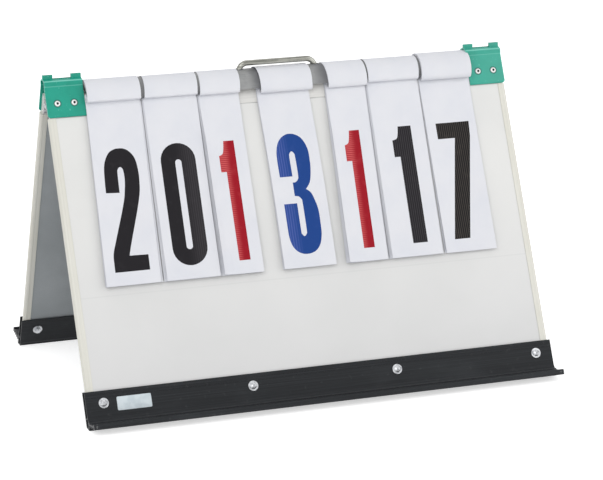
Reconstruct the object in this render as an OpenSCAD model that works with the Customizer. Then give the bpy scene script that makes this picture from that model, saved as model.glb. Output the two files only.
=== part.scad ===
// Tabletop flip scoreboard: two boards hinged as an A-frame, a curved ridge cover, seven sets of
// number leaves that flip from the front over the cover to the back, and a pull-up carrying handle.
// Millimetres. X runs along the board, Y from front to back, Z up. The origin is on the floor,
// midway between the two feet.

/* [Stand] */
// Width of a board over its edge trims
board_w = 600; // [594:1:720]
// Lean of each board from the vertical, in degrees
lean = 25.3; // [21:0.1:30]
// Distance up the slope from the heel to the hinge axis
axis_up = 401.2; // [340:0.1:482]
// Depth of the hinge axis behind the outer face of a board
axis_in = 17.8; // [16:0.1:21]

/* [Board] */
// Thickness over the edge trims
board_t = 8; // [6.6:0.1:9]
// Thickness of the steel face and of the back sheet
skin_t = 0.5; // [0.4:0.1:0.8]
// How far the sheets lie below the trim and rail faces
skin_inset = 0.8; // [0.6:0.1:1]
// Width of the edge trim's face
trim_w = 9.8; // [8:0.1:14]
// Gap between the top of the trim and the rail
trim_gap = 0.8; // [0.5:0.1:6]
// Height of the top rail
rail_h = 26; // [22:0.5:30]
// Thickness of the rail's top wall
rail_wall = 1.2; // [0.8:0.1:2]

/* [Foot] */
// How far a foot stands out past the board at each end
foot_over = 2; // [1:0.5:6]
// Wall thickness of the foot extrusion
foot_wall = 1.8; // [1.4:0.1:2.4]
// Height of the outer wall up the slope
foot_h = 45.5; // [38:0.5:56]
// Height of the inner wall above the outer one
inner_rise = 1.5; // [0:0.5:4]
// Distance up the slope from the heel to the channel floor
channel_floor = 15; // [12:0.5:19]
// Reach of the tray in front of the board face
tray_out = 29.6; // [24:0.1:36]
// Slope of the tray below the perpendicular, in degrees
tray_droop = 14; // [8:0.5:18]
// Height of the tray top at the wall
tray_root = 8; // [6.8:0.1:9.6]
// Thickness of the tray
tray_t = 2.4; // [2:0.1:3]
// Height of the bead along the tray edge
bead_h = 7; // [5.6:0.1:8.4]
// Number of ribs under the tray
rib_count = 4; // [2:1:5]
// Radius of the washers
washer_r = 6.2; // [5:0.1:7.4]
// Distance of the outer foot screws from the board's edge
screw_inset = 19.8; // [16:0.1:30]
// Height of the foot screws up the slope
screw_up = 30.4; // [26:0.1:36]

/* [Brackets] */
// Width of a corner bracket
bracket_w = 48; // [42:0.5:56]
// Thickness of the bracket sheet
bracket_t = 1.6; // [1.2:0.1:2]
// Inside radius of the bracket's bends
bracket_inner_bend = 0.8; // [0.4:0.1:1.2]
// Length of the flat plate up the slope
plate_h = 38; // [34:0.5:42]
// Height of the upright band above the plate
band_h = 6.4; // [5:0.1:8]
// Rise of the roof towards the ridge, in degrees
roof_rise = 16; // [8:1:22]
// Width of a stop lug
lug_w = 12.5; // [10:0.5:15]
// Height of a stop lug
lug_h = 5.2; // [4:0.1:6.5]
// Distance of the outer rivet from the bracket's outer edge
rivet_edge = 13.7; // [11:0.1:16]
// Pitch of the two rivets
rivet_pitch = 21; // [17:0.1:25]
// Height of the rivets above the bottom of the rail
rivet_up = 16.8; // [14:0.1:18]
// Radius of a rivet head
rivet_head_r = 3.9; // [3.2:0.1:4.6]

/* [Hinge] */
// Radius of the hinge pin
pin_r = 2.35; // [2:0.05:2.8]
// Thickness of the hinge leaf and its knuckles
hinge_t = 1.4; // [1.1:0.1:1.6]
// Length of a hinge leaf
hinge_w = 39; // [33:0.5:44]

/* [Ridge cover] */
// Outside radius of the ridge cover
cover_r = 28; // [26.6:0.1:34]
// Thickness of the cover sheet
cover_t = 0.8; // [0.6:0.1:1.2]
// Angle of the front lip below the board's normal, in degrees
lip_drop = 9.1; // [5:0.1:14]
// Gap between the cover's end and the bracket
cover_gap = 1; // [0.5:0.1:2]

/* [Handle] */
// Diameter of the handle wire
wire_d = 7; // [5.8:0.1:8.4]
// Distance between the centres of the handle legs
handle_w = 100; // [90:1:112]
// Height of the bar's centre above the top of the cover
bar_lift = 7.3; // [6.8:0.1:10]
// Radius of the handle bends at the wire's centre
bend_r = 11; // [10.5:0.5:13]
// Wall of the bushes that guide the legs, at their mouths
bush_wall = 0.8; // [0.6:0.1:1.2]
// Length of the legs below the top of the cover
leg_len = 38; // [34:0.5:40]

/* [Leaves] */
// Thickness of one leaf
leaf_t = 0.25; // [0.2:0.01:0.3]
// Pitch of the leaves in a pad
leaf_pitch = 0.35; // [0.34:0.01:0.45]
// Leaves in one set: a blank one and ten numbers
leaf_count = 11; // [8:1:11]
// Width of a wide leaf
wide_leaf = 67.5; // [56:0.5:68]
// Width of a narrow leaf
narrow_leaf = 51.5; // [43:0.5:54]
// Distance from the heel to the lower edge of the hanging leaves
leaf_foot = 168; // [140:1:200]
// Number shown by each set
shown = [2, 0, 1, 3, 1, 1, 7];
// Sets with narrow leaves
narrow_sets = [2, 4];

/* [Hidden] */
$fn = 48;

// Colours of the finishes
green = [0.20, 0.62, 0.55];
board_white = [0.88, 0.88, 0.87];
board_grey = [0.52, 0.54, 0.55];
core_brown = [0.62, 0.50, 0.36];
trim_cream = [0.89, 0.88, 0.81];
foot_black = [0.13, 0.13, 0.14];
cover_grey = [0.50, 0.51, 0.52];
steel = [0.75, 0.75, 0.74];
nickel = [0.63, 0.63, 0.60];
leaf_white = [0.90, 0.90, 0.92];

// Running gap of a pin in its hole, and the gap between neighbouring loose pieces
running_gap = 0.05;
seat_gap = 0.3;

// Half the distance between the heels, and the height of the hinge axis above the floor
half_stance = axis_up * sin(lean) + axis_in * cos(lean);
axis_z = axis_up * cos(lean) - axis_in * sin(lean);

foot_len = board_w + 2 * foot_over;

// The boards run from the channel floor of the foot into the top rail
rail_top = axis_up + 6.8;
rail_bottom = rail_top - rail_h;
board_top = rail_top - rail_wall;
trim_top = rail_bottom - trim_gap;
// The trim ends in a half round, and the sheets stop where its wall is thick enough
trim_round = board_t / 2;
sheet_half = board_w / 2 - trim_round + 0.3;
rail_half = board_w / 2 - 3;

// Foot screws, an M4 shank with a pan head, and the nut behind the inner wall
screw_count = 4;
screw_pitch = (board_w - 2 * screw_inset) / (screw_count - 1);
screw_xs = [for (i = [0:screw_count - 1]) (i - (screw_count - 1) / 2) * screw_pitch];
screw_r = 2;
screw_hole_r = 2.2;
screw_head_r = 4.1;
screw_head_h = 2.6;
washer_t = 0.8;
nut_h = 3.2;
nut_r = 4.04;
screw_end = 1;

// Brackets sit on the rail face. Their stop lugs meet over the ridge when the stand is open
bracket_foot = rail_bottom - 0.4;
bracket_in = board_w / 2 - bracket_w;
lug_face = 0.1;
rivet_u = rail_bottom + rivet_up;
rivet_r = 2.1;

// Hinge knuckles: two on the front leaf and one on the rear leaf
knuckle_r = pin_r + running_gap + hinge_t;
hinge_x = board_w / 2 - 4 - hinge_w / 2;
knuckle_gap = 0.3;
outer_knuckle = hinge_w * 0.27;

// The cover's arc starts at the front lip and goes over the top
up_angle = 90 + lean;
lip_angle = 180 + lip_drop;
cover_half = bracket_in - cover_gap;
cover_top = axis_z + cover_r;

// Leaf pads: the clamp bar holds them on the rail, and flipped leaves turn out round the lip
pad_gap = 0.3;
pad_t = pad_gap + (leaf_count - 1) * leaf_pitch + leaf_t;
wrap_r = cover_r + seat_gap;
turn_r = (wrap_r * cos(lip_drop) - axis_in - pad_t) / (1 + cos(lip_drop));
turn_a = axis_in - (wrap_r - turn_r) * cos(lip_drop);
turn_u = axis_up - (wrap_r - turn_r) * sin(lip_drop);
clamp_low = axis_up - 2.7;
clamp_high = axis_up + 4.8;
clamp_t = 1.5;
clamp_u = (clamp_low + clamp_high) / 2;
clamp_screw_r = 1.2;
fold_u = turn_u - turn_r - 8 * leaf_pitch - 1.4;
fold_gap = 0.25;
leaf_len = clamp_low - leaf_foot;

// The flipped leaves leave the cover where its arc ends and fall towards the rear board. Long ones
// hang closer to parallel with it, so that their ends stay clear of its face
tail_slack = 3.5;
tail_gap = 0.6;
tail_drop = leaf_len - (clamp_low - turn_u) - turn_r * (180 - lip_drop) * PI / 180
    - wrap_r * (lip_angle - up_angle + 90 - lean + tail_slack) * PI / 180;
tail_tilt = min(tail_slack, asin((wrap_r - axis_in - tail_gap) / tail_drop));
rear_angle = up_angle - (90 - lean + tail_tilt);

// Places of the seven sets: the outer pairs stand close together and the middle one stands apart
set_gap = 3.7;
pair_gap = 2.3;
outer_c = cover_half - wide_leaf / 2 - 0.5;
second_c = outer_c - wide_leaf - set_gap;
third_c = second_c - wide_leaf / 2 - pair_gap - narrow_leaf / 2;
set_c = [-outer_c, -second_c, -third_c, 4, third_c, second_c, outer_c];
// How far the lower edge of each hanging set has swung sideways
swing = [-6, -2, -1.5, -3, -6.5, -3, 0.5];
// Clamp screws stand in the gaps between the sets
wide_gap_x = (third_c - narrow_leaf / 2 + wide_leaf / 2) / 2;
pair_x = (outer_c + second_c) / 2;
clamp_xs = [-pair_x, -wide_gap_x, wide_gap_x + 3, pair_x];

function leaf_w(k) = len(search(k, narrow_sets)) > 0 ? narrow_leaf : wide_leaf;
function flipped(k) = shown[k] + 1;
function leaf_a(i) = -(pad_gap + i * leaf_pitch);

// A board's own frame has Y pointing from its outer face inwards and Z up the slope
module front() {
    translate([0, -half_stance, 0])
        rotate([-lean, 0, 0])
            children();
}

module rear() {
    mirror([0, 1, 0])
        front()
            children();
}

// Extrudes an outline in the Y and Z directions along X, centred on X = x
module along_x(length, x = 0) {
    translate([x - length / 2, 0, 0])
        rotate([90, 0, 90])
            linear_extrude(length)
                children();
}

// A ring between two radii from angle a0 to angle a1, less than a full turn
module arc_band(r_in, r_out, a0, a1) {
    reach = 2 * r_out;
    steps = 6;
    intersection() {
        difference() {
            circle(r_out, $fn = 96);
            circle(r_in, $fn = 96);
        }
        polygon(concat(
            [[0, 0]],
            [for (s = [0:steps]) let (a = a0 + (a1 - a0) * s / steps) [reach * cos(a), reach * sin(a)]]
        ));
    }
}

// The centre line of a bent sheet: its corner points, with a bend of radius r at each inner one
function unit(v) = v / norm(v);

function bend_points(a, b, c, r) =
    let (
        back = unit(a - b),
        onward = unit(c - b),
        half = acos(back * onward) / 2,
        middle = b + unit(back + onward) * r / sin(half),
        arm = b + back * r / tan(half) - middle,
        turn = (back[0] * onward[1] - back[1] * onward[0] > 0 ? -1 : 1) * (180 - 2 * half),
        steps = max(2, ceil(abs(turn) / 12))
    )
    [for (s = [0:steps]) let (w = turn * s / steps)
        middle + [arm[0] * cos(w) - arm[1] * sin(w), arm[0] * sin(w) + arm[1] * cos(w)]];

function sheet_path(corners, r) = [
    corners[0],
    for (i = [1:len(corners) - 2], p = bend_points(corners[i - 1], corners[i], corners[i + 1], r)) p,
    corners[len(corners) - 1]
];

// A point of the sheet's outline, at distance d beside point i of its centre line
function beside(path, i, d) =
    let (
        last = len(path) - 1,
        before = i > 0 ? unit(path[i] - path[i - 1]) : unit(path[1] - path[0]),
        after = i < last ? unit(path[i + 1] - path[i]) : before,
        along = unit(before + after)
    )
    path[i] + [-along[1], along[0]] * d / (along * after);

module bent_sheet(corners, t, r) {
    path = sheet_path(corners, r);
    last = len(path) - 1;
    polygon([
        for (i = [0:last]) beside(path, i, t / 2),
        for (i = [last:-1:0]) beside(path, i, -t / 2)
    ]);
}

// A cylinder through the board along its thickness, from depth y0 to depth y1
module through(x, u, y0, y1, r, sides = 32) {
    translate([x, y0, u])
        rotate([-90, 0, 0])
            cylinder(h = y1 - y0, r = r, $fn = sides);
}

// Boards
module board_sheet(y0, y1, colour) {
    color(colour)
        difference() {
            translate([-sheet_half, y0, channel_floor])
                cube([2 * sheet_half, y1 - y0, board_top - channel_floor]);
            for (x = screw_xs)
                through(x, screw_up, y0 - 1, y1 + 1, screw_hole_r);
            for (side = [-1, 1], i = [0, 1])
                through(side * (board_w / 2 - rivet_edge - i * rivet_pitch), rivet_u, y0 - 1, y1 + 1,
                        rivet_r + running_gap);
        }
}

module face_sheet() {
    board_sheet(skin_inset, skin_inset + skin_t, board_white);
}

module core_board() {
    board_sheet(skin_inset + skin_t, board_t - skin_inset - skin_t, core_brown);
}

module back_sheet() {
    board_sheet(board_t - skin_inset - skin_t, board_t - skin_inset, board_grey);
}

// Half-round channel that covers a side edge of the board
module edge_trim(side) {
    color(trim_cream)
        translate([0, 0, channel_floor])
            linear_extrude(trim_top - channel_floor)
                scale([side, 1])
                    difference() {
                        union() {
                            translate([board_w / 2 - trim_w, 0])
                                square([trim_w - trim_round, board_t]);
                            translate([board_w / 2 - trim_round, board_t / 2])
                                circle(trim_round);
                        }
                        translate([board_w / 2 - trim_w - 1, skin_inset])
                            square([sheet_half - board_w / 2 + trim_w + 1, board_t - 2 * skin_inset]);
                    }
}

// Channel that caps the top edge of the board
module top_rail(screwed = false) {
    color(board_white)
        difference() {
            along_x(2 * rail_half)
                translate([0, rail_bottom])
                    square([board_t, rail_h]);
            // The channel for the sheets, with a thin wall left at each end
            along_x(2 * (sheet_half + running_gap))
                translate([skin_inset, rail_bottom - 1])
                    square([board_t - 2 * skin_inset, board_top - rail_bottom + 1]);
            for (side = [-1, 1], i = [0, 1])
                through(side * (board_w / 2 - rivet_edge - i * rivet_pitch), rivet_u, -1, board_t + 1,
                        rivet_r + running_gap);
            if (screwed)
                for (x = clamp_xs)
                    through(x, clamp_u, -1, skin_inset + 0.1, clamp_screw_r + running_gap);
        }
}

// Foot: a channel that grips the board, a tray in front of it and a heel cut level with the floor
module foot_outline() {
    slope = tan(lean);
    outer = -foot_wall;
    inner = board_t + foot_wall;
    heel_t = foot_wall / cos(lean);
    difference() {
        union() {
            polygon([
                [outer, outer * slope], [inner, inner * slope],
                [inner, foot_h + inner_rise - 0.9], [outer, foot_h + inner_rise - 0.9]
            ]);
            translate([board_t + foot_wall / 2, foot_h + inner_rise - 0.9])
                circle(foot_wall / 2, $fn = 24);
        }
        // The channel for the board, with the outer wall cut a little lower than the inner one
        translate([0, channel_floor])
            square([board_t, foot_h]);
        translate([outer - 1, foot_h])
            square([foot_wall + 1, inner_rise + 1]);
        // The hollow cell under the channel
        polygon([
            [0, heel_t], [board_t, board_t * slope + heel_t],
            [board_t, channel_floor - foot_wall], [0, channel_floor - foot_wall]
        ]);
        // Two fine grooves along the outer wall
        for (u = [foot_h - 5, foot_h - 8.5])
            translate([outer - 0.01, u])
                square([0.35, 0.7]);
    }
}

module tray_outline() {
    run = tray_out - foot_wall - 1.2;
    pitch = run / (rib_count + 0.5);
    translate([-foot_wall, tray_root])
        rotate(180 + tray_droop) {
            // The tray plate, its ribs and the bead, drawn outwards from the wall
            translate([-0.6, 0])
                square([run / cos(tray_droop) + 0.6, tray_t]);
            for (i = [1:rib_count])
                translate([i * pitch, tray_t])
                    square([1.6, 2.1]);
        }
    bead_a = -(tray_out - 1.3);
    bead_u = tray_root - run * tan(tray_droop) - tray_t / 2;
    for (v = [-1, 1])
        translate([bead_a, bead_u + v * (bead_h / 2 - 1.3)])
            circle(1.3, $fn = 24);
    translate([bead_a - 1.3, bead_u - bead_h / 2 + 1.3])
        square([2.6, bead_h - 2.6]);
    // The hollow where the tray meets the wall
    fillet = 6;
    difference() {
        translate([-foot_wall - fillet, tray_root - fillet * tan(tray_droop) - 0.5])
            square([fillet + 0.1, fillet + 0.5 + fillet * tan(tray_droop)]);
        translate([-foot_wall - fillet, tray_root + fillet - 0.4])
            circle(fillet);
        translate([-foot_wall, tray_root])
            rotate(180 + tray_droop)
                translate([-1, tray_t * 0.9])
                    square([20, 20]);
    }
}

module foot() {
    color(foot_black)
        difference() {
            along_x(foot_len) {
                foot_outline();
                tray_outline();
            }
            for (x = screw_xs)
                through(x, screw_up, -foot_wall - 1, board_t + foot_wall + 1, screw_hole_r);
        }
}

module foot_screws() {
    head = -foot_wall - washer_t;
    color(steel)
        for (x = screw_xs) {
            through(x, screw_up, head, board_t + foot_wall + washer_t + nut_h + screw_end, screw_r);
            difference() {
                intersection() {
                    through(x, screw_up, head - screw_head_h, head, screw_head_r);
                    translate([x, head + 2.8, screw_up])
                        sphere(5.6, $fn = 48);
                }
                // Cross recess
                for (turn = [0, 90])
                    translate([x, head - screw_head_h, screw_up])
                        rotate([0, turn + 45, 0])
                            cube([4.2, 2.4, 0.9], center = true);
            }
        }
}

module foot_washers() {
    color(steel)
        for (x = screw_xs, y = [-foot_wall - washer_t, board_t + foot_wall])
            difference() {
                through(x, screw_up, y, y + washer_t, washer_r);
                through(x, screw_up, y - 1, y + washer_t + 1, screw_hole_r);
            }
}

module foot_nuts() {
    seat = board_t + foot_wall + washer_t;
    color(steel)
        for (x = screw_xs)
            difference() {
                through(x, screw_up, seat, seat + nut_h, nut_r, 6);
                through(x, screw_up, seat - 1, seat + nut_h + 1, screw_r + running_gap);
            }
}

// A point of the board's frame, as depth and height up the slope, in the stand's Y and Z
function to_stand(p) = [
    p[1] * sin(lean) + p[0] * cos(lean) - half_stance,
    p[1] * cos(lean) - p[0] * sin(lean)
];

// Corner bracket, bent from one sheet: plate, upright band, roof and two stop lugs
bracket_bend = bracket_inner_bend + bracket_t / 2;
plate_low = to_stand([-bracket_t / 2, bracket_foot]);
plate_high = to_stand([-bracket_t / 2, bracket_foot + plate_h]);
band_high = plate_high + [0.4, band_h];
lug_y = -lug_face - bracket_t / 2;
roof_high = [lug_y, band_high[1] + (lug_y - band_high[0]) * tan(roof_rise)];
lug_high = roof_high + [0, lug_h];

// The lower edge is bevelled over a width of 2 mm, and its outer corner is cut off
corner_cut = 3.4;
bevel_w = 2;
bevel_angle = 16;

module bracket(side) {
    middle = side * (bracket_in + bracket_w / 2);
    notch_w = bracket_w - 2 * lug_w;
    notch_d = bracket_bend + bracket_t / 2;
    color(green)
        difference() {
            along_x(bracket_w, middle)
                bent_sheet([plate_low, plate_high, band_high, roof_high, lug_high], bracket_t,
                           bracket_bend);
            // The notch between the lugs
            translate([middle - notch_w / 2, lug_y - notch_d, roof_high[1] - 2 * bracket_t])
                cube([notch_w, notch_d + bracket_t, lug_h + 3 * bracket_t]);
            front() {
                translate([side * board_w / 2, 0, bracket_foot])
                    rotate([0, 45, 0])
                        cube([corner_cut, 8, corner_cut], center = true);
                translate([middle, -bracket_t, bracket_foot + bevel_w])
                    rotate([bevel_angle, 0, 0])
                        translate([0, -bracket_t / 2, 0])
                            cube([bracket_w + 2, bracket_t, 4 * bevel_w], center = true);
                for (i = [0, 1])
                    through(side * (board_w / 2 - rivet_edge - i * rivet_pitch), rivet_u, -4, 2,
                            rivet_r + running_gap);
            }
        }
}

// Blind rivets through bracket, rail, board and hinge leaf
module rivets() {
    grip = board_t + hinge_t;
    color(steel)
        for (side = [-1, 1], i = [0, 1]) {
            x = side * (board_w / 2 - rivet_edge - i * rivet_pitch);
            difference() {
                union() {
                    through(x, rivet_u, -bracket_t, grip, rivet_r);
                    intersection() {
                        through(x, rivet_u, -bracket_t - 1.3, -bracket_t, rivet_head_r);
                        translate([x, -bracket_t + 5.4, rivet_u])
                            sphere(6.7, $fn = 48);
                    }
                    through(x, rivet_u, grip, grip + 1.6, rivet_r + 0.7);
                }
                through(x, rivet_u, -bracket_t - 2, -bracket_t + 1.5, 1.2);
            }
        }
}

// Hinge leaf on the inner face of the rail, with an arm that runs into the rolled knuckles
module hinge_knuckle(length, x) {
    along_x(length, x)
        difference() {
            union() {
                translate([axis_in, axis_up])
                    circle(knuckle_r);
                translate([board_t, axis_up + knuckle_r - hinge_t])
                    square([axis_in - board_t, hinge_t]);
            }
            translate([axis_in, axis_up])
                circle(pin_r + running_gap);
        }
}

module hinge_plate(x) {
    difference() {
        translate([x - hinge_w / 2, board_t, rail_bottom + 2])
            cube([hinge_w, hinge_t, axis_up + knuckle_r - rail_bottom - 2]);
        for (i = [0, 1])
            through(sign(x) * (board_w / 2 - rivet_edge - i * rivet_pitch), rivet_u, board_t - 1,
                    board_t + hinge_t + 1, rivet_r + running_gap);
    }
}

module front_hinge_leaves() {
    color(steel)
        for (side = [-1, 1]) {
            x = side * hinge_x;
            hinge_plate(x);
            for (end = [-1, 1])
                hinge_knuckle(outer_knuckle, x + end * (hinge_w - outer_knuckle) / 2);
        }
}

module rear_hinge_leaves() {
    color(steel)
        for (side = [-1, 1]) {
            x = side * hinge_x;
            hinge_plate(x);
            hinge_knuckle(hinge_w - 2 * outer_knuckle - 2 * knuckle_gap, x);
        }
}

module hinge_pins() {
    color(steel)
        for (side = [-1, 1])
            translate([side * hinge_x, 0, axis_z])
                rotate([0, 90, 0]) {
                    cylinder(h = hinge_w + 1, r = pin_r, center = true);
                    // Upset ends that keep the pin in its knuckles
                    for (end = [-1, 1])
                        translate([0, 0, end * (hinge_w / 2 + 0.9)])
                            cylinder(h = 1, r = pin_r + 0.8, center = true);
                }
}

// Ridge cover: one curved sheet, rolled smooth so the leaves turn over it
module ridge_cover() {
    color(cover_grey)
        difference() {
            front()
                along_x(2 * cover_half)
                    translate([axis_in, axis_up])
                        arc_band(cover_r - cover_t, cover_r, rear_angle, lip_angle);
            for (side = [-1, 1])
                translate([side * handle_w / 2, 0, axis_z])
                    cylinder(h = cover_r + 5, r = bush_r);
        }
}

// Saddles between the rail's top wall and the inside of the cover
module cover_saddles() {
    saddle_t = 1.2;
    saddle_w = 24;
    sole_w = 7;
    web_a = 4.4;
    inside = cover_r - cover_t;
    web_drop = axis_in - web_a;
    web_top = axis_up + sqrt(inside * inside - web_drop * web_drop) - saddle_t / 2;
    web_angle = 180 - acos(web_drop / inside);
    color(steel)
        for (x = [-150, 0, 150] * board_w / 600)
            front()
                along_x(saddle_w, x) {
                    translate([0.5, rail_top])
                        square([sole_w, saddle_t]);
                    translate([web_a - saddle_t / 2, rail_top])
                        square([saddle_t, web_top - rail_top]);
                    translate([axis_in, axis_up])
                        arc_band(inside - saddle_t, inside - 0.02, web_angle - 14, web_angle + 3);
                }
}

// Bar that clamps the upper ends of all leaves against the rail, and its screws
module leaf_clamp_bar() {
    color(steel)
        difference() {
            translate([-cover_half + 1, -pad_t - 0.1 - clamp_t, clamp_low])
                cube([2 * cover_half - 2, clamp_t, clamp_high - clamp_low]);
            for (x = clamp_xs)
                through(x, clamp_u, -pad_t - clamp_t - 1, -pad_t + 1, clamp_screw_r + 0.3);
        }
}

module clamp_screws() {
    seat = -pad_t - 0.1 - clamp_t;
    color(steel)
        for (x = clamp_xs) {
            through(x, clamp_u, seat, skin_inset, clamp_screw_r);
            through(x, clamp_u, seat - 0.8, seat, 2.6);
        }
}

// Pull-up carrying handle: a wire bail that slides in two bushes in the top of the cover
bend_z = cover_top + bar_lift - bend_r;
bush_low = cover_top - 12;
bush_high = cover_top + 0.3;
// The mouth clears the inner side of the wire's bend at the bush's upper end
mouth_r = bend_r - sqrt(pow(bend_r - wire_d / 2, 2) - pow(bush_high - bend_z, 2)) + 0.15;
bush_r = mouth_r + bush_wall;
flange_out = 1.2;
flange_t = 1.2;
stop_pin_r = 1.2;
stop_pin_z = cover_top - leg_len + 2.5;
stop_pin_len = 2 * bush_r + 4;

module handle_bushes() {
    // The flange lies under the curved sheet, and the mouth is wide enough for the wire's bend
    flange_r = bush_r + flange_out;
    flange_z = axis_z + sqrt(pow(cover_r - cover_t, 2) - pow(flange_r, 2)) - flange_t - 0.1;
    color(cover_grey)
        for (side = [-1, 1])
            translate([side * handle_w / 2, 0, 0])
                difference() {
                    union() {
                        translate([0, 0, bush_low])
                            cylinder(h = bush_high - bush_low, r = bush_r - 0.02);
                        translate([0, 0, flange_z])
                            cylinder(h = flange_t, r = flange_r);
                    }
                    translate([0, 0, bush_low - 1])
                        cylinder(h = bush_high - bush_low + 2, r = wire_d / 2 + running_gap);
                    translate([0, 0, bend_z])
                        cylinder(h = bush_high - bend_z + 1, r = mouth_r);
                }
}

module handle_bail() {
    bar_z = cover_top + bar_lift;
    leg_low = cover_top - leg_len;
    color(nickel) {
        difference() {
            for (side = [-1, 1])
                translate([side * handle_w / 2, 0, leg_low])
                    cylinder(h = bend_z - leg_low, r = wire_d / 2);
            for (side = [-1, 1])
                translate([side * handle_w / 2, 0, stop_pin_z])
                    rotate([0, 90, 0])
                        cylinder(h = wire_d + 2, r = stop_pin_r, center = true);
        }
        for (side = [-1, 1])
            translate([side * (handle_w / 2 - bend_r), 0, bend_z])
                rotate([90, 0, 0])
                    rotate([0, 0, side > 0 ? 0 : 90])
                        rotate_extrude(angle = 90)
                            translate([bend_r, 0])
                                circle(wire_d / 2);
        translate([0, 0, bar_z])
            rotate([0, 90, 0])
                cylinder(h = handle_w - 2 * bend_r, r = wire_d / 2, center = true);
    }
}

module handle_stop_pins() {
    color(steel)
        for (side = [-1, 1])
            translate([side * handle_w / 2, 0, stop_pin_z])
                rotate([0, 90, 0])
                    cylinder(h = stop_pin_len, r = stop_pin_r - 0.01, center = true);
}

// A flat leaf from height u0 down to u1, with its lower edge swung sideways
module flat_leaf(k, i, u0, u1) {
    w = leaf_w(k) / 2;
    c = set_c[k];
    shift = swing[k] * (u0 - u1) / leaf_len;
    color(leaf_white)
        translate([0, leaf_a(i), 0])
            rotate([90, 0, 0])
                linear_extrude(leaf_t)
                    polygon([[c - w, u0], [c + w, u0], [c + w + shift, u1], [c - w + shift, u1]]);
}

// A flipped leaf up to the rear edge of the cover: out from the clamp, round the lip and over
module wrapped_leaf(k, j) {
    color(leaf_white)
        along_x(leaf_w(k), set_c[k]) {
            translate([turn_a + turn_r + j * leaf_pitch, turn_u])
                square([leaf_t, clamp_high - turn_u]);
            translate([turn_a, turn_u])
                arc_band(turn_r + j * leaf_pitch, turn_r + j * leaf_pitch + leaf_t, lip_angle, 360);
            translate([axis_in, axis_up])
                arc_band(wrap_r + j * leaf_pitch, wrap_r + j * leaf_pitch + leaf_t,
                         rear_angle + 0.3, lip_angle);
        }
}

// Everything of one set that stays with the front board: the pad, the root of the top leaf and
// the flipped leaves over the cover
module leaf_pad(k) {
    top = leaf_count - 1 - flipped(k);
    front() {
        for (i = [0:top - 1])
            flat_leaf(k, i, clamp_high, leaf_foot + (i % 3) * 0.6);
        color(leaf_white)
            translate([set_c[k] - leaf_w(k) / 2, leaf_a(top) - leaf_t, fold_u + fold_gap])
                cube([leaf_w(k), leaf_t, clamp_high - fold_u - fold_gap]);
        for (j = [0:flipped(k) - 1])
            wrapped_leaf(k, j);
    }
}

// The leaf in front, below its fold line
module top_leaf(k) {
    front()
        flat_leaf(k, leaf_count - 1 - flipped(k), fold_u - fold_gap, leaf_foot);
}

// The hanging ends of the flipped leaves behind the stand, each outer one a little shorter
function wrap_len(j) = (clamp_low - turn_u)
    + (turn_r + j * leaf_pitch) * (180 - lip_drop) * PI / 180
    + (wrap_r + j * leaf_pitch) * (lip_angle - rear_angle) * PI / 180;

module rear_leaves(k) {
    color(leaf_white)
        rear()
            along_x(leaf_w(k), set_c[k])
                for (j = [0:flipped(k) - 1])
                    translate([axis_in, axis_up])
                        rotate(180 + tail_tilt)
                            translate([wrap_r + j * leaf_pitch, 0.15])
                                square([leaf_t, leaf_len - wrap_len(j)]);
}

front() face_sheet();  // front_face_sheet
front() core_board();  // front_core
front() back_sheet();  // front_back_sheet
front() edge_trim(-1);  // front_trim_left
front() edge_trim(1);  // front_trim_right
front() top_rail(true);  // front_top_rail
front() foot();  // front_foot
front() foot_screws();  // front_foot_screws
front() foot_washers();  // front_foot_washers
front() foot_nuts();  // front_foot_nuts
bracket(-1);  // front_bracket_left
bracket(1);  // front_bracket_right
front() rivets();  // front_rivets
front() front_hinge_leaves();
rear() face_sheet();  // rear_face_sheet
rear() core_board();  // rear_core
rear() back_sheet();  // rear_back_sheet
rear() edge_trim(-1);  // rear_trim_left
rear() edge_trim(1);  // rear_trim_right
rear() top_rail();  // rear_top_rail
rear() foot();  // rear_foot
rear() foot_screws();  // rear_foot_screws
rear() foot_washers();  // rear_foot_washers
rear() foot_nuts();  // rear_foot_nuts
mirror([0, 1, 0]) bracket(-1);  // rear_bracket_left
mirror([0, 1, 0]) bracket(1);  // rear_bracket_right
rear() rivets();  // rear_rivets
rear() rear_hinge_leaves();
hinge_pins();
ridge_cover();
cover_saddles();
front() leaf_clamp_bar();
front() clamp_screws();
handle_bushes();
handle_bail();
handle_stop_pins();
leaf_pad(0);  // leaf_pad_1
leaf_pad(1);  // leaf_pad_2
leaf_pad(2);  // leaf_pad_3
leaf_pad(3);  // leaf_pad_4
leaf_pad(4);  // leaf_pad_5
leaf_pad(5);  // leaf_pad_6
leaf_pad(6);  // leaf_pad_7
top_leaf(0);  // top_leaf_1
top_leaf(1);  // top_leaf_2
top_leaf(2);  // top_leaf_3
top_leaf(3);  // top_leaf_4
top_leaf(4);  // top_leaf_5
top_leaf(5);  // top_leaf_6
top_leaf(6);  // top_leaf_7
rear_leaves(0);  // rear_leaves_1
rear_leaves(1);  // rear_leaves_2
rear_leaves(2);  // rear_leaves_3
rear_leaves(3);  // rear_leaves_4
rear_leaves(4);  // rear_leaves_5
rear_leaves(5);  // rear_leaves_6
rear_leaves(6);  // rear_leaves_7
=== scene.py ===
"""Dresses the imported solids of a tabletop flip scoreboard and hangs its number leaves."""

import logging
import math
import random
from dataclasses import dataclass
from enum import Enum

import bmesh
import bpy
from mathutils import Matrix, Vector
from mathutils.geometry import normal


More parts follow.
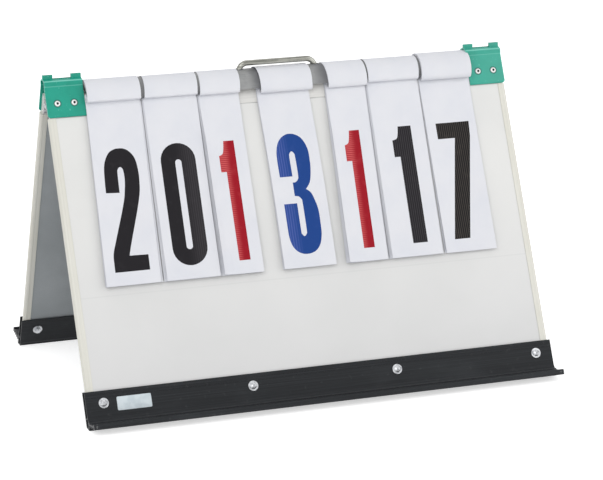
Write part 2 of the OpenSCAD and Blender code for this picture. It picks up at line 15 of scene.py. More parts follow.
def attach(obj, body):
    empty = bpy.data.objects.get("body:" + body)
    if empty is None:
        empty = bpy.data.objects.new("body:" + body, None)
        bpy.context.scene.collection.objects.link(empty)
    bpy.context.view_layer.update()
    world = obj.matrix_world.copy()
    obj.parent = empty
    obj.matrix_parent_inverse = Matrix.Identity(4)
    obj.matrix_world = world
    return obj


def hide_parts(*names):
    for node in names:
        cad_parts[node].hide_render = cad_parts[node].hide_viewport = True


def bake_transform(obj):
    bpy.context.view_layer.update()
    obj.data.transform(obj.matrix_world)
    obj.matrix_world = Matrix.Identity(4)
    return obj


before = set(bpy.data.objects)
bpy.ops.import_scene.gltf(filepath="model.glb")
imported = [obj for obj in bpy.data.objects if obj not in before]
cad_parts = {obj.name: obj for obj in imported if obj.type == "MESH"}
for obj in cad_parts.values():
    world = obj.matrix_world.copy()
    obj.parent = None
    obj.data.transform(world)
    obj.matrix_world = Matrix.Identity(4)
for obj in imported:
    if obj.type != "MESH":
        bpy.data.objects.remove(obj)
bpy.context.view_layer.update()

LOG = logging.getLogger("flip_scoreboard")
MM = 0.001
Point2 = tuple[float, float]
Triple = tuple[float, float, float]
Colour = tuple[float, float, float, float]
Socket = bpy.types.NodeSocket
Material = bpy.types.Material
Piece = bpy.types.Object
Tree = bpy.types.NodeTree
Feeds = dict[int | str, object]
WHITE = (1.0, 1.0, 1.0, 1.0)


def paint(red: float, green: float, blue: float) -> Colour:
    """Turns a screen colour into the linear one that a shader takes.

    Args:
        red: Red from 0 to 255.
        green: Green from 0 to 255.
        blue: Blue from 0 to 255.

    Returns:
        The linear colour with full opacity.
    """
    parts = []
    for value in (red, green, blue):
        v = value / 255
        parts.append(v / 12.92 if v <= 0.04045 else ((v + 0.055) / 1.055) ** 2.4)
    return (parts[0], parts[1], parts[2], 1.0)


@dataclass(frozen=True)
class Stand:
    """Sizes of the open stand in millimetres and degrees, as the solids have them."""

    lean: float = 25.3
    axis_up: float = 401.2
    axis_in: float = 17.8
    cover_r: float = 28.0
    lip_drop: float = 9.1
    tail_tilt: float = 3.5
    seat_gap: float = 0.3
    pad_gap: float = 0.3
    leaf_pitch: float = 0.35
    leaf_t: float = 0.25
    leaf_count: int = 11
    clamp_high: float = 406.0
    leaf_foot: float = 168.0
    foot_wall: float = 1.8
    fold_layers: int = 8
    fold_drop: float = 1.4
    rivets_x: float = 275.8
    rivets_half: float = 10.5
    rivets_up: float = 398.8

    @property
    def rad(self) -> float:
        """Lean of a board in radians."""
        return math.radians(self.lean)

    @property
    def half_stance(self) -> float:
        """Half the distance between the two heels."""
        return self.axis_up * math.sin(self.rad) + self.axis_in * math.cos(self.rad)

    @property
    def wrap_r(self) -> float:
        """Radius at which the first turned leaf lies on the ridge cover."""
        return self.cover_r + self.seat_gap

    @property
    def rear_angle(self) -> float:
        """Angle in the front board's section where turned leaves leave the cover."""
        return 90 + self.lean - (90 - self.lean + self.tail_tilt)

    @property
    def turn_r(self) -> float:
        """Inner radius of the roll in which a turned leaf comes out of the clamp."""
        pad = self.pad_gap + (self.leaf_count - 1) * self.leaf_pitch + self.leaf_t
        c = math.cos(math.radians(self.lip_drop))
        return (self.wrap_r * c - self.axis_in - pad) / (1 + c)

    @property
    def turn_centre(self) -> Point2:
        """Depth and height up the slope of the middle of that roll."""
        return self.round_axis(self.turn_r - self.wrap_r, math.radians(self.lip_drop))

    @property
    def fold_u(self) -> float:
        """Height up the slope at which the front leaf of a set bends when it is lifted."""
        below = self.fold_layers * self.leaf_pitch + self.fold_drop
        return self.turn_centre[1] - self.turn_r - below

    @property
    def fold_s(self) -> float:
        """Length of a hanging leaf from the clamp's upper edge to that line."""
        return self.clamp_high - self.fold_u

    @property
    def leaf_length(self) -> float:
        """Length of a number leaf."""
        return self.clamp_high - self.leaf_foot

    def round_axis(self, radius: float, angle: float) -> Point2:
        """Gives the depth and the height up the slope of a point round the hinge axis."""
        return (self.axis_in + radius * math.cos(angle), self.axis_up + radius * math.sin(angle))

    def section(self, depth: float, up: float) -> Point2:
        """Turns a point of the front board's section into the stand's Y and Z."""
        s, c = math.sin(self.rad), math.cos(self.rad)
        return (up * s + depth * c - self.half_stance, up * c - depth * s)

    def front(self, x: float, depth: float, up: float) -> Vector:
        """Turns a point of the front board into metres in the shared frame."""
        y, z = self.section(depth, up)
        return Vector((x, y, z)) * MM


STAND = Stand()


class Space(Enum):
    """What a finish measures its pattern in."""

    OBJECT = "Object"
    UV = "UV"


@dataclass(frozen=True)
class Cloud:
    """A cloudy pattern, with the range of its values that is mapped to a range of shares.

    The scale is in clouds to a metre, the detail is the number of finer layers, and a stretch
    below 1 draws the clouds out into streaks on that axis.
    """

    scale: float
    detail: float = 2.0
    low: float = 0.3
    high: float = 0.7
    least: float = 0.0
    most: float = 1.0
    stretch: Triple = (1, 1, 1)


def add_node(tree: Tree, kind: str, feeds: Feeds, **choices: object) -> bpy.types.Node:
    """Adds a shader node.

    Args:
        tree: Where the node goes.
        kind: What kind of node it is.
        feeds: What its inputs get.
        **choices: Settings of the node.

    Returns:
        The new node.
    """
    node = tree.nodes.new("ShaderNode" + kind)
    for name, choice in choices.items():
        setattr(node, name, choice)
    feed(tree, node, feeds)
    return node


def feed(tree: Tree, node: bpy.types.Node, feeds: Feeds) -> None:
    """Feeds the inputs of a node.

    Args:
        tree: Where the node is.
        node: The node.
        feeds: A socket or a value for each input, by its name or number. None leaves it alone.
    """
    for key, value in feeds.items():
        if isinstance(value, Socket):
            tree.links.new(value, node.inputs[key])
        elif value is not None:
            node.inputs[key].default_value = value


class Recipe:
    """One node material, put together step by step. A Cloud can stand for any number in it."""

    line_core = 0.4

    def __init__(self, name: str, space: Space = Space.OBJECT) -> None:
        """Starts a material with a principled shader and a coordinate node.

        Args:
            name: Name of the material.
            space: What its patterns are measured in.
        """
        self.material = bpy.data.materials.new(name)
        self.material.use_nodes = True
        self.tree = self.material.node_tree
        self.shader = self.tree.nodes["Principled BSDF"]
        self.place = self.node("TexCoord", {}).outputs[space.value]

    def solved(self, feeds: Feeds) -> Feeds:
        """Turns each Cloud among some feeds into its socket."""
        return {key: self.band(self.noise(value), value.low, value.high, value.least, value.most)
                if isinstance(value, Cloud) else value for key, value in feeds.items()}

    def node(self, kind: str, feeds: Feeds, **choices: object) -> bpy.types.Node:
        """Adds a node to the material."""
        return add_node(self.tree, kind, self.solved(feeds), **choices)

    def maths(self, how: str, *values: object, clamp: bool = False) -> Socket:
        """Works one kind of sum through some numbers, from the first to the last.

        Args:
            how: The kind of sum.
            *values: The numbers, one or more.
            clamp: Whether the result is held between 0 and 1.

        Returns:
            The result.
        """
        total = values[0]
        for value in values[1:] or (0.0,):
            node = self.node("Math", {0: total, 1: value}, operation=how, use_clamp=clamp)
            total = node.outputs[0]
        return total

    def times(self, *values: object) -> Socket:
        """Multiplies numbers."""
        return self.maths("MULTIPLY", *values)

    def apart(self, value: object, other: object) -> Socket:
        """Gives how far two numbers are apart."""
        return self.plain(self.maths("SUBTRACT", value, other))

    def plain(self, value: object) -> Socket:
        """Gives a number without its sign."""
        return self.maths("ABSOLUTE", value)

    def parts(self) -> list[Socket]:
        """Splits the place into its three coordinates."""
        return list(self.node("SeparateXYZ", {0: self.place}).outputs)

    def up_slope(self) -> Socket:
        """Finds how far up the slope of its board a point is.

        Returns:
            The distance in metres.
        """
        _, y, z = self.parts()
        inward = self.maths("SUBTRACT", STAND.half_stance * MM, self.plain(y))
        return self.maths("ADD", self.times(inward, math.sin(STAND.rad)),
                          self.times(z, math.cos(STAND.rad)))

    def from_rivet(self) -> Socket:
        """Finds how far a point on the slope is from the nearest of a board's four rivets.

        Returns:
            The distance in metres.
        """
        beside = self.apart(self.plain(self.parts()[0]), STAND.rivets_x * MM)
        beside = self.apart(beside, STAND.rivets_half * MM)
        above = self.apart(self.up_slope(), STAND.rivets_up * MM)
        return self.maths("SQRT", self.maths("ADD", self.times(beside, beside),
                                             self.times(above, above)))

    def noise(self, cloud: Cloud) -> Socket:
        """Gives the raw pattern of a cloud, about 0.5 on average."""
        place = self.node("Mapping", {"Vector": self.place, "Scale": cloud.stretch}).outputs[0]
        return self.node("TexNoise", {"Vector": place, "Scale": cloud.scale,
                                      "Detail": cloud.detail}).outputs[0]

    def band(self, value: object, low: float, high: float,
             to_low: float = 0.0, to_high: float = 1.0) -> Socket:
        """Maps a number from one range to another, softly and held at its ends."""
        feeds = {"Value": value, "From Min": low, "From Max": high, "To Min": to_low,
                 "To Max": to_high}
        return self.node("MapRange", feeds, interpolation_type="SMOOTHSTEP").outputs["Result"]

    def spread(self, pattern: Socket, least: float, most: float) -> Socket:
        """Maps the middle values of a cloudy pattern to a range."""
        return self.band(pattern, Cloud.low, Cloud.high, least, most)

    def line(self, value: object, at: float, half_width: float) -> Socket:
        """Gives 1 on a fine line where a number has one value, and 0 away from it."""
        return self.band(self.apart(value, at), half_width * self.line_core, half_width, 1, 0)

    def mixed(self, share: object, first: object, second: object) -> Socket:
        """Blends two colours by a share."""
        return self.node("Mix", {0: share, 6: first, 7: second}, data_type="RGBA").outputs[2]

    def layered(self, tone: object, *layers: tuple[object, Colour]) -> Socket:
        """Lays colours over a tone in turn, each with its share.

        Args:
            tone: The lowest colour.
            *layers: The share and the colour of each layer.

        Returns:
            The blended colour.
        """
        for share, colour in layers:
            tone = self.mixed(share, tone, colour)
        return tone

    def bump(self, height: object, depth: float, below: Socket | None = None) -> Socket:
        """Raises the surface by a pattern.

        Args:
            height: The pattern, or the cloud whose raw pattern it is.
            depth: Height in metres that a pattern value of 1 stands for.
            below: Another bump below it.

        Returns:
            The bent normal.
        """
        pattern = self.noise(height) if isinstance(height, Cloud) else height
        return self.node("Bump", {"Strength": 1.0, "Distance": depth, "Height": pattern,
                                  "Normal": below}).outputs[0]

    def finish(self, colour: object, roughness: object, bent: Socket | None = None,
               **constants: float) -> Material:
        """Feeds the shader.

        Args:
            colour: Base colour.
            roughness: Roughness.
            bent: Bump, if any.
            **constants: Values of other shader sockets, with _ for a blank.

        Returns:
            The finished material.
        """
        feeds = {"Base Color": colour, "Roughness": roughness, "Normal": bent}
        feeds.update((name.replace("_", " "), value) for name, value in constants.items())
        feed(self.tree, self.shader, self.solved(feeds))
        return self.material


@dataclass(frozen=True)
class GrainedFinish:
    """A finish of two tones over a fine grain, which also roughens and raises it.

    The clouds say where the second tone lies. The roughness is one number, or the two that the
    grain moves it between. The depth is the grain's height in metres.
    """

    name: str
    tone: Colour
    second: Colour
    grain: Cloud
    clouds: tuple[Cloud, ...]
    rough: Point2 | float
    depth: float
    metallic: float = 0.0

    def build(self) -> Material:
        """Builds the material.

        Returns:
            The material.
        """
        r = Recipe(self.name)
        grain = r.noise(self.grain)
        tone = r.layered(self.tone, *((cloud, self.second) for cloud in self.clouds))
        rough = self.rough
        if isinstance(rough, tuple):
            rough = r.spread(grain, *rough)
        return r.finish(tone, rough, r.bump(grain, self.depth), Metallic=self.metallic)


# White paint of the top rails, with fine lines along the bar.
RAIL_ENAMEL = GrainedFinish(
    "rail_enamel", paint(224, 223, 220), paint(203, 202, 198), Cloud(900, 3, stretch=(0.02, 1, 1)),
    (Cloud(900, 3, 0.4, 0.8, 0, 0.35, (0.02, 1, 1)), Cloud(25, 3, 0.45, 0.8, 0, 0.4)),
    (0.34, 0.46), 0.00004)

# Dull grey coat on the inner side of the boards.
GREY_PRIMER = GrainedFinish(
    "board_back_coat", paint(170, 175, 178), paint(154, 159, 162), Cloud(700, 3),
    (Cloud(14, 5, 0.3, 0.75), Cloud(700, 3, 0.45, 0.7, 0, 0.25)), (0.5, 0.66), 0.00008)

# Brown pressed fibre of the core, seen at its edges.
HARDBOARD = GrainedFinish(
    "core_fibre", paint(139, 104, 70), paint(88, 62, 40), Cloud(1500, 4, stretch=(0.3, 1, 1)),
    (Cloud(1500, 4, 0.35, stretch=(0.3, 1, 1)),), 0.86, 0.0002)

# Bright zinc on screws, washers, nuts and hinges.
ZINC_PLATE = GrainedFinish(
    "zinc_plate", paint(210, 212, 215), paint(150, 152, 156), Cloud(1600, 3),
    (Cloud(260, 3, 0.4, 0.72),), (0.24, 0.42), 0.00004, 0.85)

# Dull nickel plate of the drawn handle wire.
NICKEL_WIRE = GrainedFinish(
    "nickel_wire", paint(174, 174, 166), paint(92, 92, 86), Cloud(520, 3, stretch=(0.02, 1, 1)),
    (Cloud(90, 4, 0.42, 0.7, 0, 0.3), Cloud(520, 3, 0.5, 0.62, 0, 0.75, (0.02, 1, 1))),
    (0.26, 0.42), 0.0001, 0.8)

# Grey moulded nylon of the handle bushes.
BUSH_NYLON = GrainedFinish(
    "bush_nylon", paint(122, 124, 127), paint(146, 148, 150), Cloud(900, 3),
    (Cloud(900, 3, 0.45, 0.75, 0, 0.6),), (0.42, 0.55), 0.00006)

# Pale foil of the bare plate on the front foot.
LABEL_FOIL = GrainedFinish(
    "label_foil", paint(214, 224, 229), paint(176, 190, 198), Cloud(700, 3),
    (Cloud(90, 3, 0.4, 0.7, 0, 0.5),), (0.3, 0.42), 0.00003)


@dataclass(frozen=True)
class BoardEnamel:
    """White board enamel, with painted shade low down, a faint line across and soft rub marks."""

    tone: Colour = paint(226, 226, 224)
    # darker tone of the painted shade low on the board
    low_tone: Colour = paint(219, 219, 219)
    mark: Colour = paint(206, 207, 206)
    dirt: Colour = paint(120, 121, 120)
    low_range: Point2 = (0.04, 0.30)
    seam_up: float = 0.158
    joint_up: float = 0.3817
    line_half: float = 0.0011
    seam_share: float = 0.30

    def build(self) -> Material:
        """Builds the material.

        Returns:
            The material.
        """
        r = Recipe("board_enamel")
        up = r.up_slope()
        # a faint darker line across the board at this height
        faint_line = r.times(r.line(up, self.seam_up, self.line_half), self.seam_share)
        grime = r.times(r.line(up, self.joint_up, self.line_half),
                        Cloud(25, 2, 0.3, 0.6, 0.25, 0.6))
        # painted shade: darker from 0.30 m up the slope down to 0.04 m, the low tone below that
        tone = r.mixed(r.band(up, *self.low_range), self.low_tone, self.tone)
        tone = r.layered(tone, (Cloud(9, 3, 0.35, 0.75, 0, 0.28), self.mark),
                         (faint_line, self.mark), (grime, self.dirt))
        rubs = Cloud(60, 4, least=0.30, most=0.42, stretch=(1, 0.15, 0.15))
        return r.finish(tone, rubs, r.bump(Cloud(420), 0.00003), Specular_IOR_Level=0.45)


@dataclass(frozen=True)
class CreamTrim:
    """Off-white edge-trim plastic, three drawn lines along its face darkened as painted shade."""

    tone: Colour = paint(224, 223, 215)
    warm: Colour = paint(215, 213, 202)
    groove: Colour = paint(186, 185, 176)
    groove_share: float = 0.13
    groove_depth: float = 0.00012
    lines: tuple[Point2, ...] = ((0.2947, 0.0005), (0.2983, 0.0004), (0.2903, 0.0005))

    def build(self) -> Material:
        """Builds the material.

        Returns:
            The material.
        """
        r = Recipe("trim_plastic")
        across = r.plain(r.parts()[0])
        drawn = r.noise(Cloud(800, stretch=(1, 0.01, 0.01)))
        marks = r.maths("MAXIMUM", *(r.line(across, at, half) for at, half in self.lines))
        # painted shade: the three sunk lines are darkened, the innermost one as the shade along the
        # trim's inner edge
        tone = r.layered(self.tone, (r.band(drawn, 0.35, 0.75, 0, 0.6), self.warm),
                         (Cloud(7, 4, 0.4, 0.8, 0, 0.7), self.warm),
                         (r.times(marks, self.groove_share), self.groove))
        bed = r.bump(r.times(marks, -1.0), self.groove_depth)
        return r.finish(tone, r.spread(drawn, 0.38, 0.5), r.bump(drawn, 0.00005, bed))


@dataclass(frozen=True)
class FootPlastic:
    """Dark grey extruded plastic of the feet, with drawn lines and pale worn ends."""

    tone: Colour = paint(30, 32, 35)
    light: Colour = paint(54, 57, 60)
    worn: Colour = paint(122, 123, 124)
    # tone of the painted highlight line along the tray's root
    line: Colour = paint(86, 88, 90)
    worn_from: Point2 = (0.295, 0.300)
    tray_top: Point2 = (0.004, 0.008)
    tray_root: Point2 = (0.0085, 0.0012)
    worn_share: float = 0.8
    root_share: float = 0.3

    def build(self) -> Material:
        """Builds the material.

        Returns:
            The material.
        """
        r = Recipe("foot_plastic")
        up = r.up_slope()
        drawn = r.noise(Cloud(1300, 3, stretch=(0.006, 1, 1)))
        near_end = r.band(r.plain(r.parts()[0]), *self.worn_from)
        worn = r.times(near_end, r.band(up, *self.tray_top, 1, 0), Cloud(420, 4, 0.46, 0.62),
                       self.worn_share)
        # painted highlight: a lighter line along the root of the tray
        root = r.times(r.line(up, *self.tray_root), self.root_share)
        tone = r.layered(self.tone, (r.band(drawn, 0.4, 0.75, 0, 0.5), self.light),
                         (Cloud(30, 4, 0.5, 0.8, 0, 0.45, (0.4, 1, 1)), self.light),
                         (worn, self.worn), (root, self.line),
                         (Cloud(160, 5, 0.62, 0.75, 0, 0.08), self.worn))
        rough = r.spread(drawn, 0.38, 0.54)
        return r.finish(tone, rough, r.bump(drawn, 0.00006), Specular_IOR_Level=0.2)


@dataclass(frozen=True)
class BracketPaint:
    """Green paint on the corner brackets, with painted highlights along their bends."""

    tone: Colour = paint(30, 158, 136)
    deep: Colour = paint(22, 142, 120)
    # tone of the painted highlights at the bends and end edges, and of the chips in the paint
    edge: Colour = paint(134, 216, 200)
    # tone of the painted shade round the rivet heads
    grime: Colour = paint(14, 78, 68)
    # tone of the painted sheen on the brackets at the right-hand end
    faded: Colour = paint(104, 192, 176)
    creases: Point2 = (0.3806, 0.3868)
    crease_half: float = 0.0008
    end_range: Point2 = (0.29985, 0.29995)
    fade_range: Point2 = (0.2, 0.29)
    ring_inside: Point2 = (0.0034, 0.0036)
    ring_outside: Point2 = (0.0044, 0.0056)
    low_share: float = 0.45
    bend_share: float = 0.7

    def build(self) -> Material:
        """Builds the material.

        Returns:
            The material.
        """
        r = Recipe("bracket_paint")
        x, _, z = r.parts()
        grain = r.noise(Cloud(900, 3))
        # painted highlights along the two bends, the lower one weaker, and at the bracket's end
        # edges
        low, high = (r.line(z, at, self.crease_half) for at in self.creases)
        bends = r.maths("MAXIMUM", r.times(low, self.low_share), high,
                        r.band(r.plain(x), *self.end_range))
        # painted shade: a dark ring on the paint round each rivet head
        away = r.from_rivet()
        ring = r.times(r.band(away, *self.ring_inside), r.band(away, *self.ring_outside, 0.6, 0))
        # painted sheen: lighter towards the right-hand end from x 0.2 m; the last layer is chips in
        # the paint
        tone = r.layered(self.tone, (Cloud(40, 4, 0.35, 0.7, 0, 0.7), self.deep),
                         (r.band(x, *self.fade_range, 0, 0.3), self.faded),
                         (r.times(bends, self.bend_share), self.edge), (ring, self.grime),
                         (Cloud(300, 5, 0.66, 0.72, 0, 0.35), self.edge))
        peel = r.bump(Cloud(500), 0.00005, r.bump(grain, 0.00003))
        return r.finish(tone, r.spread(grain, 0.3, 0.42), peel, Specular_IOR_Level=0.35)


@dataclass(frozen=True)
class RivetHead:
    """Bright ring of a blind rivet head, painted shade at its outer rim and round its centre hole.
    """

    ring: Colour = paint(238, 238, 237)
    dull: Colour = paint(186, 188, 188)
    # tones of the painted shade along the outer rim and in the centre hole
    rim: Colour = paint(70, 88, 84)
    bore: Colour = paint(40, 34, 38)
    rim_range: Point2 = (0.0030, 0.0036)
    bore_range: Point2 = (0.0014, 0.0018)

    def build(self) -> Material:
        """Builds the material.

        Returns:
            The material.
        """
        r = Recipe("rivet_head")
        away = r.from_rivet()
        grain = r.noise(Cloud(1500, 3))
        # painted shade: darker along the outer rim of the head and dark in and round its centre
        # hole
        tone = r.layered(self.ring, (r.band(grain, 0.45, 0.75, 0, 0.5), self.dull),
                         (r.band(away, *self.rim_range, 0, 0.85), self.rim),
                         (r.band(away, *self.bore_range, 1, 0), self.bore))
        return r.finish(tone, r.spread(grain, 0.3, 0.46), r.bump(grain, 0.00003), Metallic=0.3)


@dataclass(frozen=True)
class CoverCoating:
    """Smooth grey coating of the ridge cover, a little rubbed along its length."""

    tone: Colour = paint(147, 148, 148)
    dark: Colour = paint(80, 81, 86)
    light: Colour = paint(166, 168, 166)
    # tone of the painted shade in the gaps between the outer sets
    slot: Colour = paint(64, 64, 69)
    shaded: tuple[Point2, ...] = ((-0.046, -0.030), (0.040, 0.058))
    slots: tuple[Point2, ...] = ((0.1165, 0.008), (0.181, 0.008))
    slot_heights: Point2 = (0.350, 0.386)
    shade_on: float = 0.006
    shade_share: float = 0.8
    soft_edge: float = 0.001

    def build(self) -> Material:
        """Builds the material.

        Returns:
            The material.
        """
        r = Recipe("cover_coating")
        mottle = r.noise(Cloud(130, 5))
        rub = r.noise(Cloud(500, 4, stretch=(0.06, 1, 1)))
        x, _, z = r.parts()
        layers = [(r.band(mottle, 0.36, 0.66, 0, 0.15), self.dark),
                  (r.band(rub, 0.5, 0.75, 0, 0.3), self.light)]
        # painted shade on the cover in the gaps either side of the middle set
        for low, high in self.shaded:
            end = high + self.shade_on
            ends = r.band(x, end, end + self.soft_edge, 1, 0)
            layers.append((r.times(r.band(x, low, high), ends, self.shade_share), self.dark))
        # painted shade in the gaps between the outer sets, darker lower down
        lower_shade = r.band(z, *self.slot_heights, 0.9, 0.35)
        for middle, half in self.slots:
            inside = r.band(r.apart(r.plain(x), middle), half, half + self.soft_edge, 1, 0)
            layers.append((r.times(inside, lower_shade), self.slot))
        skin = r.bump(mottle, 0.00004, r.bump(rub, 0.00004))
        return r.finish(r.layered(self.tone, *layers), r.spread(mottle, 0.42, 0.54), skin,
                        Metallic=0.15)


@dataclass(frozen=True)
class LeafCloth:
    """White coated cloth of the number leaves, with a fine weave under the coating."""

    tone: Colour = paint(225, 226, 231)
    cool: Colour = paint(219, 221, 228)
    warm: Colour = paint(226, 225, 229)
    weave_pitch: float = 0.0009

    def build(self) -> Material:
        """Builds the material.

        Returns:
            The material.
        """
        r = Recipe("leaf_cloth", Space.UV)
        turns = 2 * math.pi / self.weave_pitch
        warp, weft = (r.maths("SINE", r.times(way, turns)) for way in r.parts()[:2])
        tone = r.layered(self.tone, (Cloud(16, 3, 0.35), self.cool),
                         (Cloud(9, 2, 0.5, 0.75, 0, 0.6), self.warm))
        creases = r.bump(Cloud(22, 3, stretch=(1, 0.3, 1)), 0.0004)
        weave = r.bump(r.times(warp, weft), 0.00002, creases)
        rough = Cloud(120, 3, least=0.44, most=0.56)
        return r.finish(tone, rough, weave, Specular_IOR_Level=0.3)


class PrintLines(Enum):
    """Which way the fine lines in a printed number run."""

    UPRIGHT = 0
    LEVEL = 1
    PLAIN = 2


@dataclass(frozen=True)
class PrintInk:
    """Screen-printed ink of a number, with the fine lines of its print."""

    name: str
    tone: Colour
    pale: Colour
    lines: PrintLines = PrintLines.UPRIGHT
    pitch: float = 0.0027
    depth: float = 0.5
    # range across which the ink turns paler towards one side; on the red ink a painted sheen
    fade: Point2 | None = None
    wobble: float = 0.0012
    wave_range: Point2 = (0.1, 0.95)
    thinned: float = 0.22

    def build(self) -> Material:
        """Builds the material.

        Returns:
            The material.
        """
        r = Recipe(self.name, Space.UV)
        across, along, _ = r.parts()
        way = along if self.lines is PrintLines.LEVEL else across
        way = r.maths("ADD", way, r.times(r.noise(Cloud(40)), self.wobble))
        wave = r.maths("SINE", r.times(way, 2 * math.pi / self.pitch))
        depth = 0.0 if self.lines is PrintLines.PLAIN else self.depth
        stripes = r.band(wave, *self.wave_range, 0.0, depth)
        # paler towards one side: on the red print the paler left side is a painted sheen of the
        # curled left edge
        if self.fade is not None:
            thin = r.band(across, *self.fade, 1, 0)
            stripes = r.maths("MULTIPLY", thin, r.maths("ADD", stripes, self.thinned),
                              clamp=True)
        tone = r.layered(self.tone, (stripes, self.pale),
                         (Cloud(70, 4, 0.5, 0.8, 0, 0.12), self.pale))
        rough = Cloud(240, 3, least=0.4, most=0.55)
        return r.finish(tone, rough, r.bump(stripes, 0.00004), Specular_IOR_Level=0.15)


class Finishes:
    """All finishes of the scoreboard, each built once and kept by the name of its use."""

    def __init__(self) -> None:
        """Builds every finish."""
        self.enamel = BoardEnamel().build()
        self.rail = RAIL_ENAMEL.build()
        self.back = GREY_PRIMER.build()
        self.core = HARDBOARD.build()
        self.trim = CreamTrim().build()
        self.foot = FootPlastic().build()
        self.bracket = BracketPaint().build()
        self.zinc = ZINC_PLATE.build()
        self.rivet = RivetHead().build()
        self.cover = CoverCoating().build()
        self.nickel = NICKEL_WIRE.build()
        self.nylon = BUSH_NYLON.build()
        self.cloth = LeafCloth().build()
        self.label = LABEL_FOIL.build()
        black, grey = paint(28, 26, 30), paint(76, 73, 77)
        jet, brown = paint(18, 16, 18), paint(104, 97, 90)
        red, rose = paint(154, 14, 32), paint(226, 108, 108)
        blue, sky = paint(26, 66, 136), paint(88, 104, 176)
        upright, level, plain = PrintLines.UPRIGHT, PrintLines.LEVEL, PrintLines.PLAIN
        self.inks = {ink.name: ink.build() for ink in (
            PrintInk("ink_black_plain", black, grey, plain),
            PrintInk("ink_black_thin", black, grey, upright, 0.0027, 0.25, (0.016, -0.004)),
            PrintInk("ink_black_lined", black, grey),
            PrintInk("ink_black_worn", jet, brown, upright, 0.0027, 0.36),
            # the red print's paler left side is a painted sheen
            PrintInk("ink_red", red, rose, level, 0.0024, 0.55, (-0.004, 0.0045)),
            PrintInk("ink_blue", blue, sky, upright, 0.0032, 0.45, (-0.016, -0.002)),
        )}


def rounded(points: list[Point2], steps: int = 5) -> list[Point2]:
    """Draws a smooth line through points, which stay on it.

    Args:
        points: The points in order, in millimetres.
        steps: How many short pieces lie between two of them.

    Returns:
        The points of the smooth line, both ends included.
    """
    out: list[Point2] = []
    for i in range(len(points) - 1):
        p0, p1 = points[max(i - 1, 0)], points[i]
        p2, p3 = points[i + 1], points[min(i + 2, len(points) - 1)]
        for n in range(steps):
            t = n / steps
            out.append(tuple(
                0.5 * (2 * b + (c - a) * t + (2 * a - 5 * b + 4 * c - d) * t * t
                       + (3 * b - a - 3 * c + d) * t ** 3)
                for a, b, c, d in zip(p0, p1, p2, p3)))
    out.append(points[-1])
    return out


def stadium(half_width: float, low: float, high: float, steps: int = 14) -> list[Point2]:
    """Draws an upright bar with round ends.

    Args:
        half_width: Half its width in millimetres.
        low: Height of its lower end.
        high: Height of its upper end.
        steps: Straight pieces in each round end.

    Returns:
        Its outline.
    """
    out = []
    for turn, middle in enumerate((high - half_width, low + half_width)):
        for n in range(steps + 1):
            a = math.pi * (turn + n / steps)
            out.append((half_width * math.cos(a), middle + half_width * math.sin(a)))
    return out


